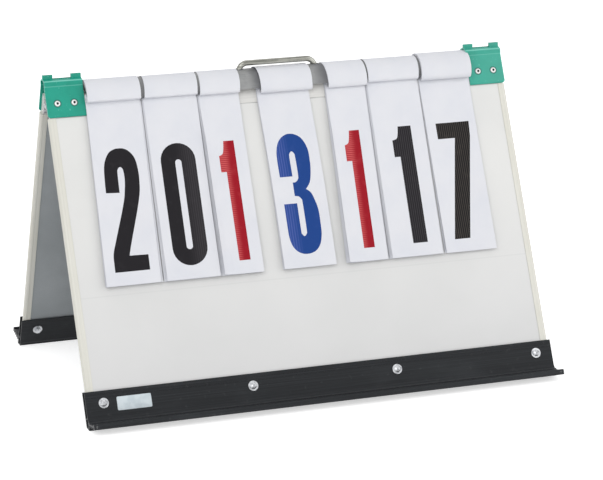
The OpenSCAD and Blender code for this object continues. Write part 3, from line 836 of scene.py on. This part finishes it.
def number_outlines() -> dict[str, list[list[Point2]]]:
    """Gives the loops of each printed number in millimetres, base at 0.

    Returns:
        The loops by name. The first is the outer one, and the others are holes.
    """
    two = [(-21.4, 0), (22, 0), (22, 18.8)] + rounded(
        [(-1.2, 19.3), (0.4, 26), (4.5, 40), (9.1, 55), (13.7, 70), (17.9, 85), (20.7, 98),
         (21.7, 110), (21.9, 118), (21, 130), (18.5, 140), (13, 147.7), (6.5, 151.7), (0, 152.5),
         (-6, 151.7), (-12.5, 148), (-17.5, 140), (-20.3, 130), (-21.2, 115), (-21.5, 98.3)]
    ) + rounded(
        [(-4.5, 97.5), (-4.4, 121), (-3.6, 126.5), (-0.6, 129.2), (2.6, 126.5), (3.7, 118),
         (3.3, 108), (2.2, 100), (0.6, 91), (-1.8, 82), (-6.2, 68), (-10.9, 54), (-15.5, 40),
         (-20.1, 26), (-21.4, 18)])
    three = rounded(
        [(-21.3, 98.8), (-21.3, 120), (-20.4, 131), (-17.5, 141), (-12, 148.5), (-5, 152.4),
         (0, 153), (6, 152), (13, 147.8), (18, 140), (20.6, 131), (21, 122), (20.2, 107),
         (16.7, 90.5), (10.2, 81.5)]
    ) + rounded(
        [(10.2, 81.4), (15.7, 76.5), (19.5, 66), (22, 53), (22, 33), (21.2, 22), (18, 11),
         (12.5, 4), (6, 0.8), (0, 0), (-6, 0.8), (-13, 4.5), (-18.3, 12), (-20.8, 22),
         (-21.3, 33), (-21.3, 64.5)]
    ) + rounded(
        [(-4.3, 64.5), (-4.3, 30), (-3.5, 25.2), (-0.7, 22.5), (2.1, 25.2), (3, 30), (3, 64.5),
         (2.2, 69.6), (-0.8, 73)]
    ) + [(-5.8, 74)] + rounded(
        [(-5.8, 91), (-2, 91.3), (1.6, 94.6), (2.7, 100), (2.7, 122), (2, 127.6), (-1, 130.5),
         (-4.1, 127.6), (-4.8, 122), (-4.8, 98.8)])
    one = [(-11, 111.5), (-11, 133)] + rounded(
        [(-11, 133.1), (-5, 135), (-2.7, 141), (-1.3, 150.5)]) + [
        (15.9, 150.5), (15.9, 0), (-3.3, 0), (-3.3, 111.5)]
    slim_one = [(-10.6, 111.5), (-10.6, 132)] + rounded(
        [(-10.6, 132.1), (-6, 134.2), (-4, 140), (-2.6, 150.5)]) + [
        (10.6, 150.5), (10.6, 0), (-3.6, 0), (-3.6, 111.5)]
    side = [(0, 153), (7, 152), (14, 147.5), (19, 139), (21, 128), (21, 112), (19.5, 96),
            (15.5, 85), (10.5, 79.5)]
    low_side = [(10.5, 79.3), (16, 74), (20, 63), (22, 50), (22, 33), (20.5, 20), (16, 8),
                (8, 1.5), (0, 0)]
    right = rounded(side) + rounded(low_side)
    eight = right + [(-x, v) for x, v in reversed(right[1:-1])]
    four = [(2.5, 0), (19, 0), (19, 27), (23.5, 27), (23.5, 43), (19, 43), (19, 150.5),
            (-1, 150.5), (-22, 46), (-22, 27), (2.5, 27)]
    seven = [(-20.5, 130), (-20.5, 150.5), (24.5, 150.5), (23.3, 131), (1, 0), (-20, 0), (2.5, 130)]
    return {
        "0": [stadium(22, 0, 153), stadium(4, 20, 132.5)],
        "1": [one],
        "1_slim": [slim_one],
        "2": [two],
        "3": [three],
        "4": [four, [(2.5, 43), (2.5, 112), (-11, 43)]],
        "7": [seven],
        "8": [eight, stadium(4, 93, 130.5), stadium(4, 22.5, 69)],
    }


class Side(Enum):
    """Which face of a leaf carries a print as it hangs in front. Turned, it shows its inner one."""

    OUTER = 1
    INNER = -1


class LeafForm:
    """The hung shape of one leaf: its line down from the clamp, its sway and its curl."""

    def __init__(self, line: list[Point2], centre: float, width: float) -> None:
        """Keeps the line and measures it.

        Args:
            line: The leaf's middle line in the stand's Y and Z, from the clamp to its end.
            centre: X of the middle of the leaf at the clamp.
            width: Width of the leaf.
        """
        self.line = [Vector(p) for p in line]
        self.centre = centre
        self.width = width
        self.lengths = [0.0]
        for a, b in zip(self.line, self.line[1:]):
            self.lengths.append(self.lengths[-1] + (b - a).length)

    @property
    def length(self) -> float:
        """Length of the leaf from the clamp to its free end."""
        return self.lengths[-1]

    def normal(self, i: int) -> Vector:
        """Finds the direction away from the board.

        Args:
            i: Number of a point of the line.

        Returns:
            The direction at that point.
        """
        a, b = self.line[max(i - 1, 0)], self.line[min(i + 1, len(self.line) - 1)]
        t = (b - a).normalized()
        return Vector((t.y, -t.x))

    def sway(self, s: float) -> float:
        """Sideways swing at a length from the clamp."""
        return 0.0

    def curl(self, x: float, s: float) -> float:
        """Distance by which a point of the leaf stands away from its line."""
        return 0.0

    def at(self, x: float, s: float, off: float = 0.0) -> Vector:
        """Gives a point of the leaf in metres.

        Args:
            x: Distance from the leaf's middle line.
            s: Length from the clamp.
            off: Distance outwards from the middle of its thickness.

        Returns:
            The point in the shared frame.
        """
        s = min(max(s, 0.0), self.length)
        i = 0
        while i < len(self.lengths) - 2 and self.lengths[i + 1] < s:
            i += 1
        t = (s - self.lengths[i]) / max(self.lengths[i + 1] - self.lengths[i], 1e-9)
        p = self.line[i].lerp(self.line[i + 1], t)
        n = self.normal(i).lerp(self.normal(i + 1), t).normalized()
        p = p + n * (off + self.curl(x, s))
        return Vector((self.centre + x + self.sway(s), p.x, p.y)) * MM


class HangingLeaf(LeafForm):
    """A leaf that hangs in front of the board."""

    clamp_stops = (400.0, 395.0)
    fold_stops = (2, 0, -2, -4, -6, -9)
    steps = 26
    bow_grows = 120.0
    edges_grow = 70.0

    def __init__(self, layer: int, centre: float, width: float, swing: float, lift: float,
                 bow: float, short: float, bend: float, edges: Point2) -> None:
        """Lays the leaf's line.

        Args:
            layer: Its place in the pad, counted from the board.
            centre: X of its middle at the clamp.
            width: Its width.
            swing: Sideways swing of its free end.
            lift: How far its free end stands off the pad's plane.
            bow: How far its side edges curl forwards.
            short: How much shorter than the others it is cut.
            bend: Sideways bulge halfway down.
            edges: How far its left and right edges lift off by themselves.
        """
        depth = -(STAND.pad_gap + layer * STAND.leaf_pitch + STAND.leaf_t / 2)
        low = STAND.leaf_foot + short
        fold = STAND.fold_u
        stops = [STAND.clamp_high, *self.clamp_stops, *(fold + up for up in self.fold_stops)]
        last = stops[-1]
        stops += [last - (last - low) * n / self.steps for n in range(1, self.steps + 1)]
        line = []
        for up in stops:
            fall = min(max((fold - up) / (fold - low), 0.0), 1.0)
            line.append(STAND.section(depth - lift * fall * fall, up))
        super().__init__(line, centre, width)
        self.swing = swing
        self.bow = bow
        self.bend = bend
        self.edges = edges

    def sway(self, s: float) -> float:
        """Sideways swing at a length from the clamp."""
        share = max(s - STAND.fold_s, 0.0) / (self.length - STAND.fold_s)
        return self.swing * share + self.bend * math.sin(math.pi * share)

    def curl(self, x: float, s: float) -> float:
        """Curls the side edges forwards, less and less towards the fold.

        Args:
            x: Distance from the leaf's middle line.
            s: Length from the clamp.

        Returns:
            The distance by which that point stands forwards.
        """
        below = max(s - STAND.fold_s, 0.0)
        side = 2 * x / self.width
        free = min(below / self.edges_grow, 1.0)
        lifted = self.edges[0] * max(-side, 0.0) ** 3 + self.edges[1] * max(side, 0.0) ** 3
        return (self.bow * min(below / self.bow_grows, 1.0) * side ** 2
                + free * free * (3 - 2 * free) * lifted)


class TurnedLeaf(LeafForm):
    """A leaf that was turned over the ridge cover and hangs behind the stand."""

    clamp_stop = 402.0
    roll_steps = 16
    wrap_steps = 26
    tail_steps = 24
    pull_share = 0.745
    settle = 4.0

    def __init__(self, layer: int, centre: float, width: float, length: float, lift: float,
                 roll_low: float, skew: float) -> None:
        """Lays the leaf's line: up from the clamp, round the roll, over the cover and down.

        Args:
            layer: Its place on the cover, counted from the cover outwards.
            centre: X of its middle.
            width: Its width.
            length: Its whole length.
            lift: How far its free end stands off from the layers below.
            roll_low: Height up the slope of the lowest line of its roll.
            skew: Sideways shift where it passes over the top of the cover.
        """
        t = STAND.leaf_t / 2
        step = layer * STAND.leaf_pitch
        turn_a, turn_u = STAND.turn_centre
        large = STAND.wrap_r + step + t
        lip = math.radians(180 + STAND.lip_drop)
        inner = turn_a + STAND.turn_r + step + t
        cross = STAND.round_axis(large, lip)
        reach = ((turn_u + cross[1]) / 2 - roll_low) / self.pull_share
        pulls = [(inner, turn_u), (inner, turn_u - reach),
                 (cross[0] - reach * math.sin(lip), cross[1] + reach * math.cos(lip)), cross]
        line = [STAND.section(inner, up) for up in (STAND.clamp_high, self.clamp_stop, turn_u)]
        for n in range(1, self.roll_steps + 1):
            share = n / self.roll_steps
            rest = 1 - share
            weights = (rest ** 3, 3 * rest * rest * share, 3 * rest * share * share, share ** 3)
            line.append(STAND.section(*(sum(w * pull[i] for w, pull in zip(weights, pulls))
                                        for i in (0, 1))))
        roll_end = len(line) - 1
        rear = math.radians(STAND.rear_angle)
        for n in range(1, self.wrap_steps + 1):
            a = lip + (rear - lip) * n / self.wrap_steps
            line.append(STAND.section(*STAND.round_axis(large, a)))
        run = sum((Vector(b) - Vector(a)).length for a, b in zip(line, line[1:]))
        tail = length - run
        start = Vector(line[-1])
        slope = math.radians(STAND.lean - STAND.tail_tilt)
        down = Vector((math.sin(slope), -math.cos(slope)))
        away = Vector((math.cos(slope), math.sin(slope)))
        for n in range(1, self.tail_steps + 1):
            share = n / self.tail_steps
            line.append(tuple(start + down * (tail * share) + away * (lift * share * share)))
        super().__init__(line, centre, width)
        self.skew = skew
        self.roll_end = self.lengths[roll_end]
        self.over_top = large * (lip - math.radians(90 + STAND.lean))

    def sway(self, s: float) -> float:
        """Sideways shift at a length from the clamp, which settles behind the stand."""
        beyond = max(s - self.roll_end + self.settle, 0.0) / (self.over_top + self.settle)
        return self.skew * (1 - math.exp(-beyond)) / (1 - math.exp(-1))


def placed(name: str, data: bpy.types.ID) -> Piece:
    """Makes an object in the scene.

    Args:
        name: Name of the object.
        data: Its mesh, lamp or camera.

    Returns:
        The object.
    """
    piece = bpy.data.objects.new(name, data)
    bpy.context.scene.collection.objects.link(piece)
    return piece


class MeshDraft:
    """Collects points and faces of one piece and turns them into an object."""

    sharp_degrees = 50

    def __init__(self) -> None:
        """Starts empty."""
        self.points: list[Vector] = []
        self.faces: list[tuple[int, ...]] = []
        self.uv: list[Point2] = []

    def add(self, point: Vector, uv: Point2 = (0.0, 0.0)) -> int:
        """Adds a point.

        Args:
            point: Its place in metres.
            uv: Its place in the pattern.

        Returns:
            Its number.
        """
        self.points.append(point)
        self.uv.append(uv)
        return len(self.points) - 1

    def object(self, name: str, material: Material) -> Piece:
        """Makes the object, smooth shaded and with its pattern coordinates.

        Args:
            name: Name of the piece.
            material: Its finish.

        Returns:
            The new object, linked to the scene.
        """
        mesh = bpy.data.meshes.new(name)
        mesh.from_pydata([tuple(p) for p in self.points], [], self.faces)
        layer = mesh.uv_layers.new(name="pattern")
        for loop in mesh.loops:
            layer.data[loop.index].uv = self.uv[loop.vertex_index]
        mesh.materials.append(material)
        mesh.validate()
        mesh.shade_smooth()
        mesh.set_sharp_from_angle(angle=math.radians(self.sharp_degrees))
        return placed(name, mesh)


def leaf_mesh(name: str, form: LeafForm, columns: int, cloth: Material) -> Piece:
    """Builds a leaf as a thin closed sheet.

    Args:
        name: Name of the piece.
        form: Its hung shape.
        columns: Faces across its width.
        cloth: Its finish.

    Returns:
        The leaf.
    """
    draft = MeshDraft()
    grid: dict[tuple[int, int, int], int] = {}
    for side in (1, -1):
        for r, s in enumerate(form.lengths):
            for c in range(columns + 1):
                x = form.width * (c / columns - 0.5)
                point = form.at(x, s, side * STAND.leaf_t / 2)
                grid[side, r, c] = draft.add(point, (x * MM, s * MM))

    def face(*corners: tuple[int, int, int]) -> None:
        """Adds a face by the side, row and column of its corners."""
        draft.faces.append(tuple(grid[corner] for corner in corners))

    end = len(form.lengths) - 1
    for r in range(end):
        for c in range(columns):
            face((1, r, c), (1, r + 1, c), (1, r + 1, c + 1), (1, r, c + 1))
            face((-1, r, c), (-1, r, c + 1), (-1, r + 1, c + 1), (-1, r + 1, c))
    for r in range(end):
        face((1, r, 0), (-1, r, 0), (-1, r + 1, 0), (1, r + 1, 0))
        face((1, r, columns), (1, r + 1, columns), (-1, r + 1, columns), (-1, r, columns))
    for c in range(columns):
        face((1, 0, c), (1, 0, c + 1), (-1, 0, c + 1), (-1, 0, c))
        face((1, end, c), (-1, end, c), (-1, end, c + 1), (1, end, c + 1))
    return draft.object(name, cloth)


PRINT_BASE = 16.5
PRINT_GRID = 8
PRINT_GRID_X = tuple(0.5 + PRINT_GRID * n for n in range(-3, 4))
PRINT_RISE = 0.06
PRINT_WELD = 0.02


def number_mesh(name: str, loops: list[list[Point2]], form: LeafForm, side: Side, scale: Point2,
                shift: float, ink: Material) -> Piece:
    """Builds a printed number as a film that follows its leaf.

    Args:
        name: Name of the piece.
        loops: Outer loop and holes in millimetres.
        form: The leaf that it is printed on.
        side: The face that it is printed on.
        scale: Factors on its width and height.
        shift: Sideways place on the leaf.
        ink: Its finish.

    Returns:
        The number.
    """
    bm = bmesh.new()
    for loop in loops:
        verts = [bm.verts.new((x * scale[0], v * scale[1], 0)) for x, v in loop]
        for a, b in zip(verts, verts[1:] + verts[:1]):
            bm.edges.new((a, b))
    bmesh.ops.remove_doubles(bm, verts=bm.verts[:], dist=PRINT_WELD)
    bmesh.ops.triangle_fill(bm, use_beauty=True, edges=bm.edges[:])
    high = max(v.co.y for v in bm.verts)
    cuts = [((0, PRINT_GRID * n, 0), (0, 1, 0)) for n in range(1, int(high // PRINT_GRID) + 1)]
    cuts += [((x, 0, 0), (1, 0, 0)) for x in PRINT_GRID_X]
    for place, way in cuts:
        bmesh.ops.bisect_plane(bm, geom=bm.verts[:] + bm.edges[:] + bm.faces[:], plane_co=place,
                               plane_no=way)
    draft = MeshDraft()
    outwards = side.value
    base = form.length - PRINT_BASE
    for v in bm.verts:
        point = form.at(outwards * v.co.x + shift, base - v.co.y,
                        outwards * (STAND.leaf_t / 2 + PRINT_RISE))
        draft.add(point, (v.co.x * MM, v.co.y * MM))
        v.index = len(draft.points) - 1
    for f in bm.faces:
        ids = tuple(v.index for v in f.verts)
        facing = normal([draft.points[i] for i in ids])
        middle = base - sum(v.co.y for v in f.verts) / len(f.verts)
        want = form.at(0, middle, outwards) - form.at(0, middle)
        draft.faces.append(ids if facing.dot(want) > 0 else ids[::-1])
    bm.free()
    return draft.object(name, ink)


@dataclass
class LeafSet:
    """One set of eleven leaves on the clamp, with the number that it shows.

    The front leaves hang to the side by hang and swing on from there. The fan says how far the
    root and the foot of every other leaf below lie to the side, first for the even ones. Edges
    are how far the front leaf's left and right edges lift. The nudge and the skews shift the
    turned leaves sideways, the skews over the top of the cover, for the outermost and the lowest.
    """

    index: int
    centre: float
    shown: int
    ink: str
    swing: float
    hang: float
    fan: tuple[Point2, Point2]
    edges: Point2
    nudge: float
    roll_low: float
    skews: Point2
    finishes: Finishes
    outlines: dict[str, list[list[Point2]]]
    narrow: bool = False
    widths: Point2 = (67.5, 51.5)
    bend: float = 0.0
    digit_shift: float = 0.0
    lift: float = 2.2
    bow: float = 0.5
    inner_bow: float = 0.3
    fan_layers: int = 4
    loose_swing: float = 0.4
    loose_cut: float = 1.4
    pad_depth: float = 5.0
    fold_span: Point2 = (1.5, -9.0)
    rear_bend: float = 0.014
    under_scale: float = 0.8
    behind_scale: float = 0.68
    narrow_scale: float = 0.76
    seed: int = 7
    columns: int = 6
    front_columns: int = 10
    last_columns: int = 8

    @property
    def width(self) -> float:
        """Width of its leaves."""
        return self.widths[self.narrow]

    @property
    def turned(self) -> int:
        """How many leaves hang behind the stand."""
        return self.shown + 1

    def _print(self, use: str, number: int, form: LeafForm, side: Side,
               scale: float = 1.0) -> Piece:
        """Prints a number on a leaf.

        Args:
            use: What the print is for, which ends its name.
            number: The number.
            form: The leaf.
            side: The face of the leaf.
            scale: Factor on its size.

        Returns:
            The print.
        """
        key, slim = str(number), self.narrow_scale if self.narrow else 1.0
        if number == 1 and self.narrow:
            key, slim = "1_slim", 1.0
        return number_mesh(f"set_{self.index}_{use}", self.outlines[key], form, side,
                           (scale * slim, scale), self.digit_shift, self.finishes.inks[self.ink])

    def hang_front(self) -> None:
        """Hangs the leaves of the front pad and the front leaf with its number."""
        rng = random.Random(self.seed + self.index)
        top = STAND.leaf_count - 1 - self.turned
        start, end = (STAND.front(self.centre, -self.pad_depth, STAND.fold_u + rise)
                      for rise in self.fold_span)
        for layer in range(top + 1):
            is_top = layer == top
            out = layer / max(top, 1)
            under = min((top - layer) / self.fan_layers, 1.0)
            root, foot = (under * reach for reach in self.fan[(top - layer) % 2])
            swing, short = self.swing + foot - root, 0.0
            bow, edges = self.bow, self.edges
            if not is_top:
                swing += rng.uniform(-self.loose_swing, self.loose_swing)
                short = rng.uniform(0.0, self.loose_cut)
                bow, edges = self.bow * self.inner_bow * out, (0.0, 0.0)
            form = HangingLeaf(layer, self.centre + self.hang + root, self.width, swing,
                               self.lift * out ** 2, bow, short, self.bend, edges)
            leaf = leaf_mesh(f"set_{self.index}_leaf_{layer + 1}", form,
                             self.front_columns if is_top else self.columns, self.finishes.cloth)
            prints = []
            if is_top:
                prints = [self._print("number", self.shown, form, Side.OUTER),
                          self._print("number_under", self.shown + 1, form, Side.INNER,
                                      self.under_scale)]
            elif layer == top - 1:
                prints = [self._print("number_next", self.shown + 1, form, Side.OUTER)]
            for piece in [leaf, *prints]:
                if is_top:
                    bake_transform(piece)
                else:
                    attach(piece, "front_frame")
            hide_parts(f"{'top_leaf' if is_top else 'leaf_pad'}_{self.index}")

    def hang_behind(self) -> None:
        """Lays the turned leaves over the ridge cover, with the number seen from behind."""
        for layer in range(self.turned):
            under = self.turned - 1 - layer
            skew = self.skews[0] + (self.skews[1] - self.skews[0]) * under / max(self.turned - 1, 1)
            form = TurnedLeaf(layer, self.centre + self.nudge, self.width, STAND.leaf_length,
                              STAND.leaf_pitch * layer,
                              self.roll_low + under * STAND.leaf_pitch + STAND.leaf_t / 2, skew)
            leaf = leaf_mesh(f"set_{self.index}_turned_{layer + 1}", form,
                             self.columns if under else self.last_columns, self.finishes.cloth)
            prints = [] if under else [self._print("number_behind", self.shown, form, Side.INNER,
                                                   self.behind_scale)]
            for piece in [leaf, *prints]:
                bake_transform(piece)
            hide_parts(f"leaf_pad_{self.index}", f"rear_leaves_{self.index}")

    def build(self) -> None:
        """Builds all leaves of the set."""
        self.hang_front()
        self.hang_behind()
        LOG.info("leaf set %d shows %d, %d leaves turned", self.index, self.shown, self.turned)


@dataclass
class NumberLeaves:
    """The seven leaf sets in their places along the clamp.

    After its place and number, each says how its leaves swing, hang, fan out and lift at their
    edges, then how the turned ones are nudged, how low they roll and how they run skew.
    """

    finishes: Finishes

    def build(self) -> None:
        """Builds every set."""
        both = (self.finishes, number_outlines())
        for leaf_set in (
            LeafSet(1, -216.75, 2, "ink_black_plain", -5.8, -1.4, ((0.0, -0.3), (2.3, 4.3)),
                    (0.3, 0.6), -1.2, 395.4, (2.6, 2.2), *both),
            LeafSet(2, -145.55, 0, "ink_black_thin", -2.4, -0.65, ((-1.6, -2.6), (1.2, 0.7)),
                    (0.4, 0.6), -0.65, 395.4, (4.1, 4.1), *both),
            LeafSet(3, -83.75, 1, "ink_red", -1.5, 0.4, ((-1.6, -2.6), (0.2, 0.2)),
                    (5.2, 0.2), 0.4, 393.9, (3.8, 3.6), *both, narrow=True),
            LeafSet(4, 4.0, 3, "ink_blue", 1.05, -3.8, ((-0.4, -0.4), (0.3, 0.6)),
                    (0.3, 0.5), -0.2, 390.9, (0.5, 2.2), *both, bend=1.2, digit_shift=-1.2),
            LeafSet(5, 83.75, 1, "ink_red", -5.0, -1.6, ((-0.7, -1.6), (1.8, 2.5)),
                    (3.6, 0.2), 1.1, 390.9, (0.95, -0.35), *both, narrow=True),
            LeafSet(6, 145.55, 1, "ink_black_lined", -3.0, 0.2, ((-1.8, -2.6), (1.4, 2.6)),
                    (0.3, 0.3), 0.2, 393.9, (2.1, 4.9), *both),
            LeafSet(7, 216.75, 7, "ink_black_worn", -0.2, -0.3, ((-1.3, -2.4), (3.6, 0.5)),
                    (0.3, 1.2), 0.6, 391.0, (3.4, 2.8), *both),
        ):
            leaf_set.build()


def dress(node: str, material: Material) -> None:
    """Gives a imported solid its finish.

    Args:
        node: Name of the solid.
        material: Its finish.
    """
    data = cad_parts[node].data
    data.materials.clear()
    data.materials.append(material)
    LOG.info("%s is finished in %s", node, material.name)


@dataclass
class BoardHalf:
    """One of the two boards with its rail, trims, foot, brackets and fasteners."""

    side: str
    finishes: Finishes

    def build(self) -> None:
        """Dresses the pieces of this board."""
        f = self.finishes
        coats = {
            "face_sheet": f.enamel, "core": f.core, "back_sheet": f.back, "trim_left": f.trim,
            "trim_right": f.trim, "top_rail": f.rail, "foot": f.foot, "foot_screws": f.zinc,
            "foot_washers": f.zinc, "foot_nuts": f.zinc, "bracket_left": f.bracket,
            "bracket_right": f.bracket, "rivets": f.rivet, "hinge_leaves": f.zinc,
        }
        for node, coat in coats.items():
            dress(f"{self.side}_{node}", coat)


@dataclass
class Ridge:
    """The ridge cover, its saddles, the clamp bar and the hinge pins."""

    finishes: Finishes

    def build(self) -> None:
        """Dresses the pieces at the ridge."""
        dress("ridge_cover", self.finishes.cover)
        for node in ("cover_saddles", "leaf_clamp_bar", "clamp_screws", "hinge_pins"):
            dress(node, self.finishes.zinc)


@dataclass
class Handle:
    """The wire handle that slides up, with its bushes and stop pins."""

    finishes: Finishes

    def build(self) -> None:
        """Dresses the handle."""
        dress("handle_bail", self.finishes.nickel)
        dress("handle_stop_pins", self.finishes.zinc)
        dress("handle_bushes", self.finishes.nylon)


@dataclass
class FootLabel:
    """The bare plate on the left end of the front foot.

    The profile is the inset from its outline and the rise off the foot, from its underside in.
    """

    finishes: Finishes
    left: float = -264.0
    right: float = -221.5
    low: float = 19.6
    high: float = 36.2
    corner: float = 1.6
    corner_steps: int = 6
    profile: tuple[Point2, ...] = ((0.0, 0.02), (0.0, 0.21), (0.15, 0.35), (0.9, 0.35),
                                   (1.05, 0.28), (1.2, 0.35))

    def build(self) -> None:
        """Builds the plate with round corners and a soft rim."""
        draft = MeshDraft()
        cx, cu = (self.left + self.right) / 2, (self.low + self.high) / 2
        w, h = (self.right - self.left) / 2, (self.high - self.low) / 2
        ring: list[Point2] = []
        for q, (sx, su) in enumerate(((1, 1), (-1, 1), (-1, -1), (1, -1))):
            for n in range(self.corner_steps + 1):
                a = math.pi / 2 * (q + n / self.corner_steps)
                ring.append((sx * (w - self.corner) + self.corner * math.cos(a),
                             su * (h - self.corner) + self.corner * math.sin(a)))
        rings = []
        for inset, rise in self.profile:
            scale_x, scale_u = 1 - inset / w, 1 - inset / h
            rings.append([draft.add(STAND.front(cx + x * scale_x, -STAND.foot_wall - rise,
                                                cu + u * scale_u)) for x, u in ring])
        for a, b in zip(rings, rings[1:]):
            for i in range(len(ring)):
                j = (i + 1) % len(ring)
                draft.faces.append((a[i], a[j], b[j], b[i]))
        draft.faces.append(tuple(rings[-1]))
        draft.faces.append(tuple(reversed(rings[0])))
        plate = draft.object("front_foot_label", self.finishes.label)
        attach(plate, "front_frame")
        LOG.info("bare label plate on the front foot")


@dataclass
class Studio:
    """Pale floor, soft lamps, plain surroundings and the camera of the picture."""

    focal_px: float = 2517.84
    width_px: float = 603.0
    azimuth: float = 18.9
    elevation: float = 14.81
    roll: float = -0.58
    sensor_mm: float = 36.0
    shift_mm: Triple = (-27.42, -153.23, 3247.97)
    world_level: float = 0.68
    floor_level: float = 0.58
    floor_half: float = 9.0
    clip: Point2 = (0.05, 60.0)
    aim: Triple = (0, 0, 0.18)
    lamps: tuple[tuple[str, Triple, float, float], ...] = (
        ("key_lamp", (-1.6, -2.4, 2.2), 2.2, 29), ("fill_lamp", (2.2, -1.6, 1.5), 2.0, 17),
        ("top_lamp", (0.2, 0.4, 3.0), 2.4, 3))

    def camera(self) -> None:
        """Puts the camera where the picture was taken."""
        az, el, ro = (math.radians(v) for v in (self.azimuth, self.elevation, self.roll))
        ahead = Vector((math.sin(az) * math.cos(el), math.cos(az) * math.cos(el), -math.sin(el)))
        right = ahead.cross(Vector((0, 0, 1))).normalized()
        up = right.cross(ahead)
        right, up = (right * math.cos(ro) + up * math.sin(ro),
                     up * math.cos(ro) - right * math.sin(ro))
        turn = Matrix((right, up, ahead))
        place = -(turn.transposed() @ Vector(self.shift_mm)) * MM
        data = bpy.data.cameras.new("picture_camera")
        data.sensor_fit = "HORIZONTAL"
        data.sensor_width = self.sensor_mm
        data.lens = self.sensor_mm * self.focal_px / self.width_px
        data.clip_start, data.clip_end = self.clip
        eye = placed(data.name, data)
        basis = Matrix((right, up, -ahead)).transposed()
        eye.matrix_world = Matrix.Translation(place) @ basis.to_4x4()
        bpy.context.scene.camera = eye

    def lamp(self, name: str, place: Triple, size: float, power: float) -> None:
        """Adds one soft square lamp that looks at the stand.

        Args:
            name: Name of the lamp.
            place: Where it is, in metres.
            size: Width of its square in metres.
            power: Power in watts.
        """
        data = bpy.data.lights.new(name, "AREA")
        data.shape = "SQUARE"
        data.size = size
        data.energy = power
        lamp = placed(name, data)
        lamp.location = place
        lamp.rotation_mode = "QUATERNION"
        way = Vector(self.aim) - Vector(place)
        lamp.rotation_quaternion = way.to_track_quat("-Z", "Y")

    def seen_rays(self, tree: Tree) -> Socket:
        """Tells rays from the camera, mirrors and glass from plain light.

        Args:
            tree: Where the nodes go.

        Returns:
            A socket with 1 for such rays and 0 for plain light.
        """
        rays = add_node(tree, "LightPath", {}).outputs
        seen = rays["Is Camera Ray"]
        for other in ("Is Glossy Ray", "Is Transmission Ray"):
            seen = add_node(tree, "Math", {0: seen, 1: rays[other]}, operation="MAXIMUM").outputs[0]
        return seen

    def surroundings(self) -> None:
        """Lights the scene evenly and shows plain white behind it."""
        scene = bpy.context.scene
        scene.world = bpy.data.worlds.new("studio")
        scene.world.use_nodes = True
        tree = scene.world.node_tree
        tree.nodes.clear()
        soft = add_node(tree, "Background", {"Color": WHITE, "Strength": self.world_level})
        plain = add_node(tree, "Background", {"Color": WHITE, "Strength": 1.0})
        mix = add_node(tree, "MixShader", {0: self.seen_rays(tree), 1: soft.outputs[0],
                                           2: plain.outputs[0]})
        add_node(tree, "OutputWorld", {0: mix.outputs[0]})
        scene.view_settings.view_transform = "Standard"

    def floor(self) -> None:
        """Lays the pale floor."""
        mesh = bpy.data.meshes.new("floor")
        far = self.floor_half
        mesh.from_pydata([(-far, -far, 0), (far, -far, 0), (far, far, 0), (-far, far, 0)], [],
                         [(0, 1, 2, 3)])
        floor = placed("floor", mesh)
        r = Recipe("floor_paper")
        paper = r.mixed(Cloud(300), paint(250, 250, 250), paint(247, 247, 247))
        mesh.materials.append(r.finish(paper, 0.9))
        glow = r.times(self.seen_rays(r.tree), self.floor_level)
        white = r.node("Emission", {"Color": WHITE, "Strength": glow})
        both = r.node("AddShader", {0: r.shader.outputs[0], 1: white.outputs[0]})
        r.tree.links.new(both.outputs[0], r.tree.nodes["Material Output"].inputs["Surface"])

    def build(self) -> None:
        """Builds the whole studio."""
        self.surroundings()
        self.floor()
        for lamp in self.lamps:
            self.lamp(*lamp)
        self.camera()
        LOG.info("studio is set")


def main() -> None:
    """Builds every sub-assembly in order."""
    logging.basicConfig(level=logging.INFO, format="%(name)s: %(message)s")
    finishes = Finishes()
    for part in (BoardHalf("front", finishes), BoardHalf("rear", finishes), Ridge(finishes),
                 Handle(finishes), FootLabel(finishes), NumberLeaves(finishes), Studio()):
        part.build()
        LOG.info("%s done", type(part).__name__)


if __name__ == "__main__":
    main()
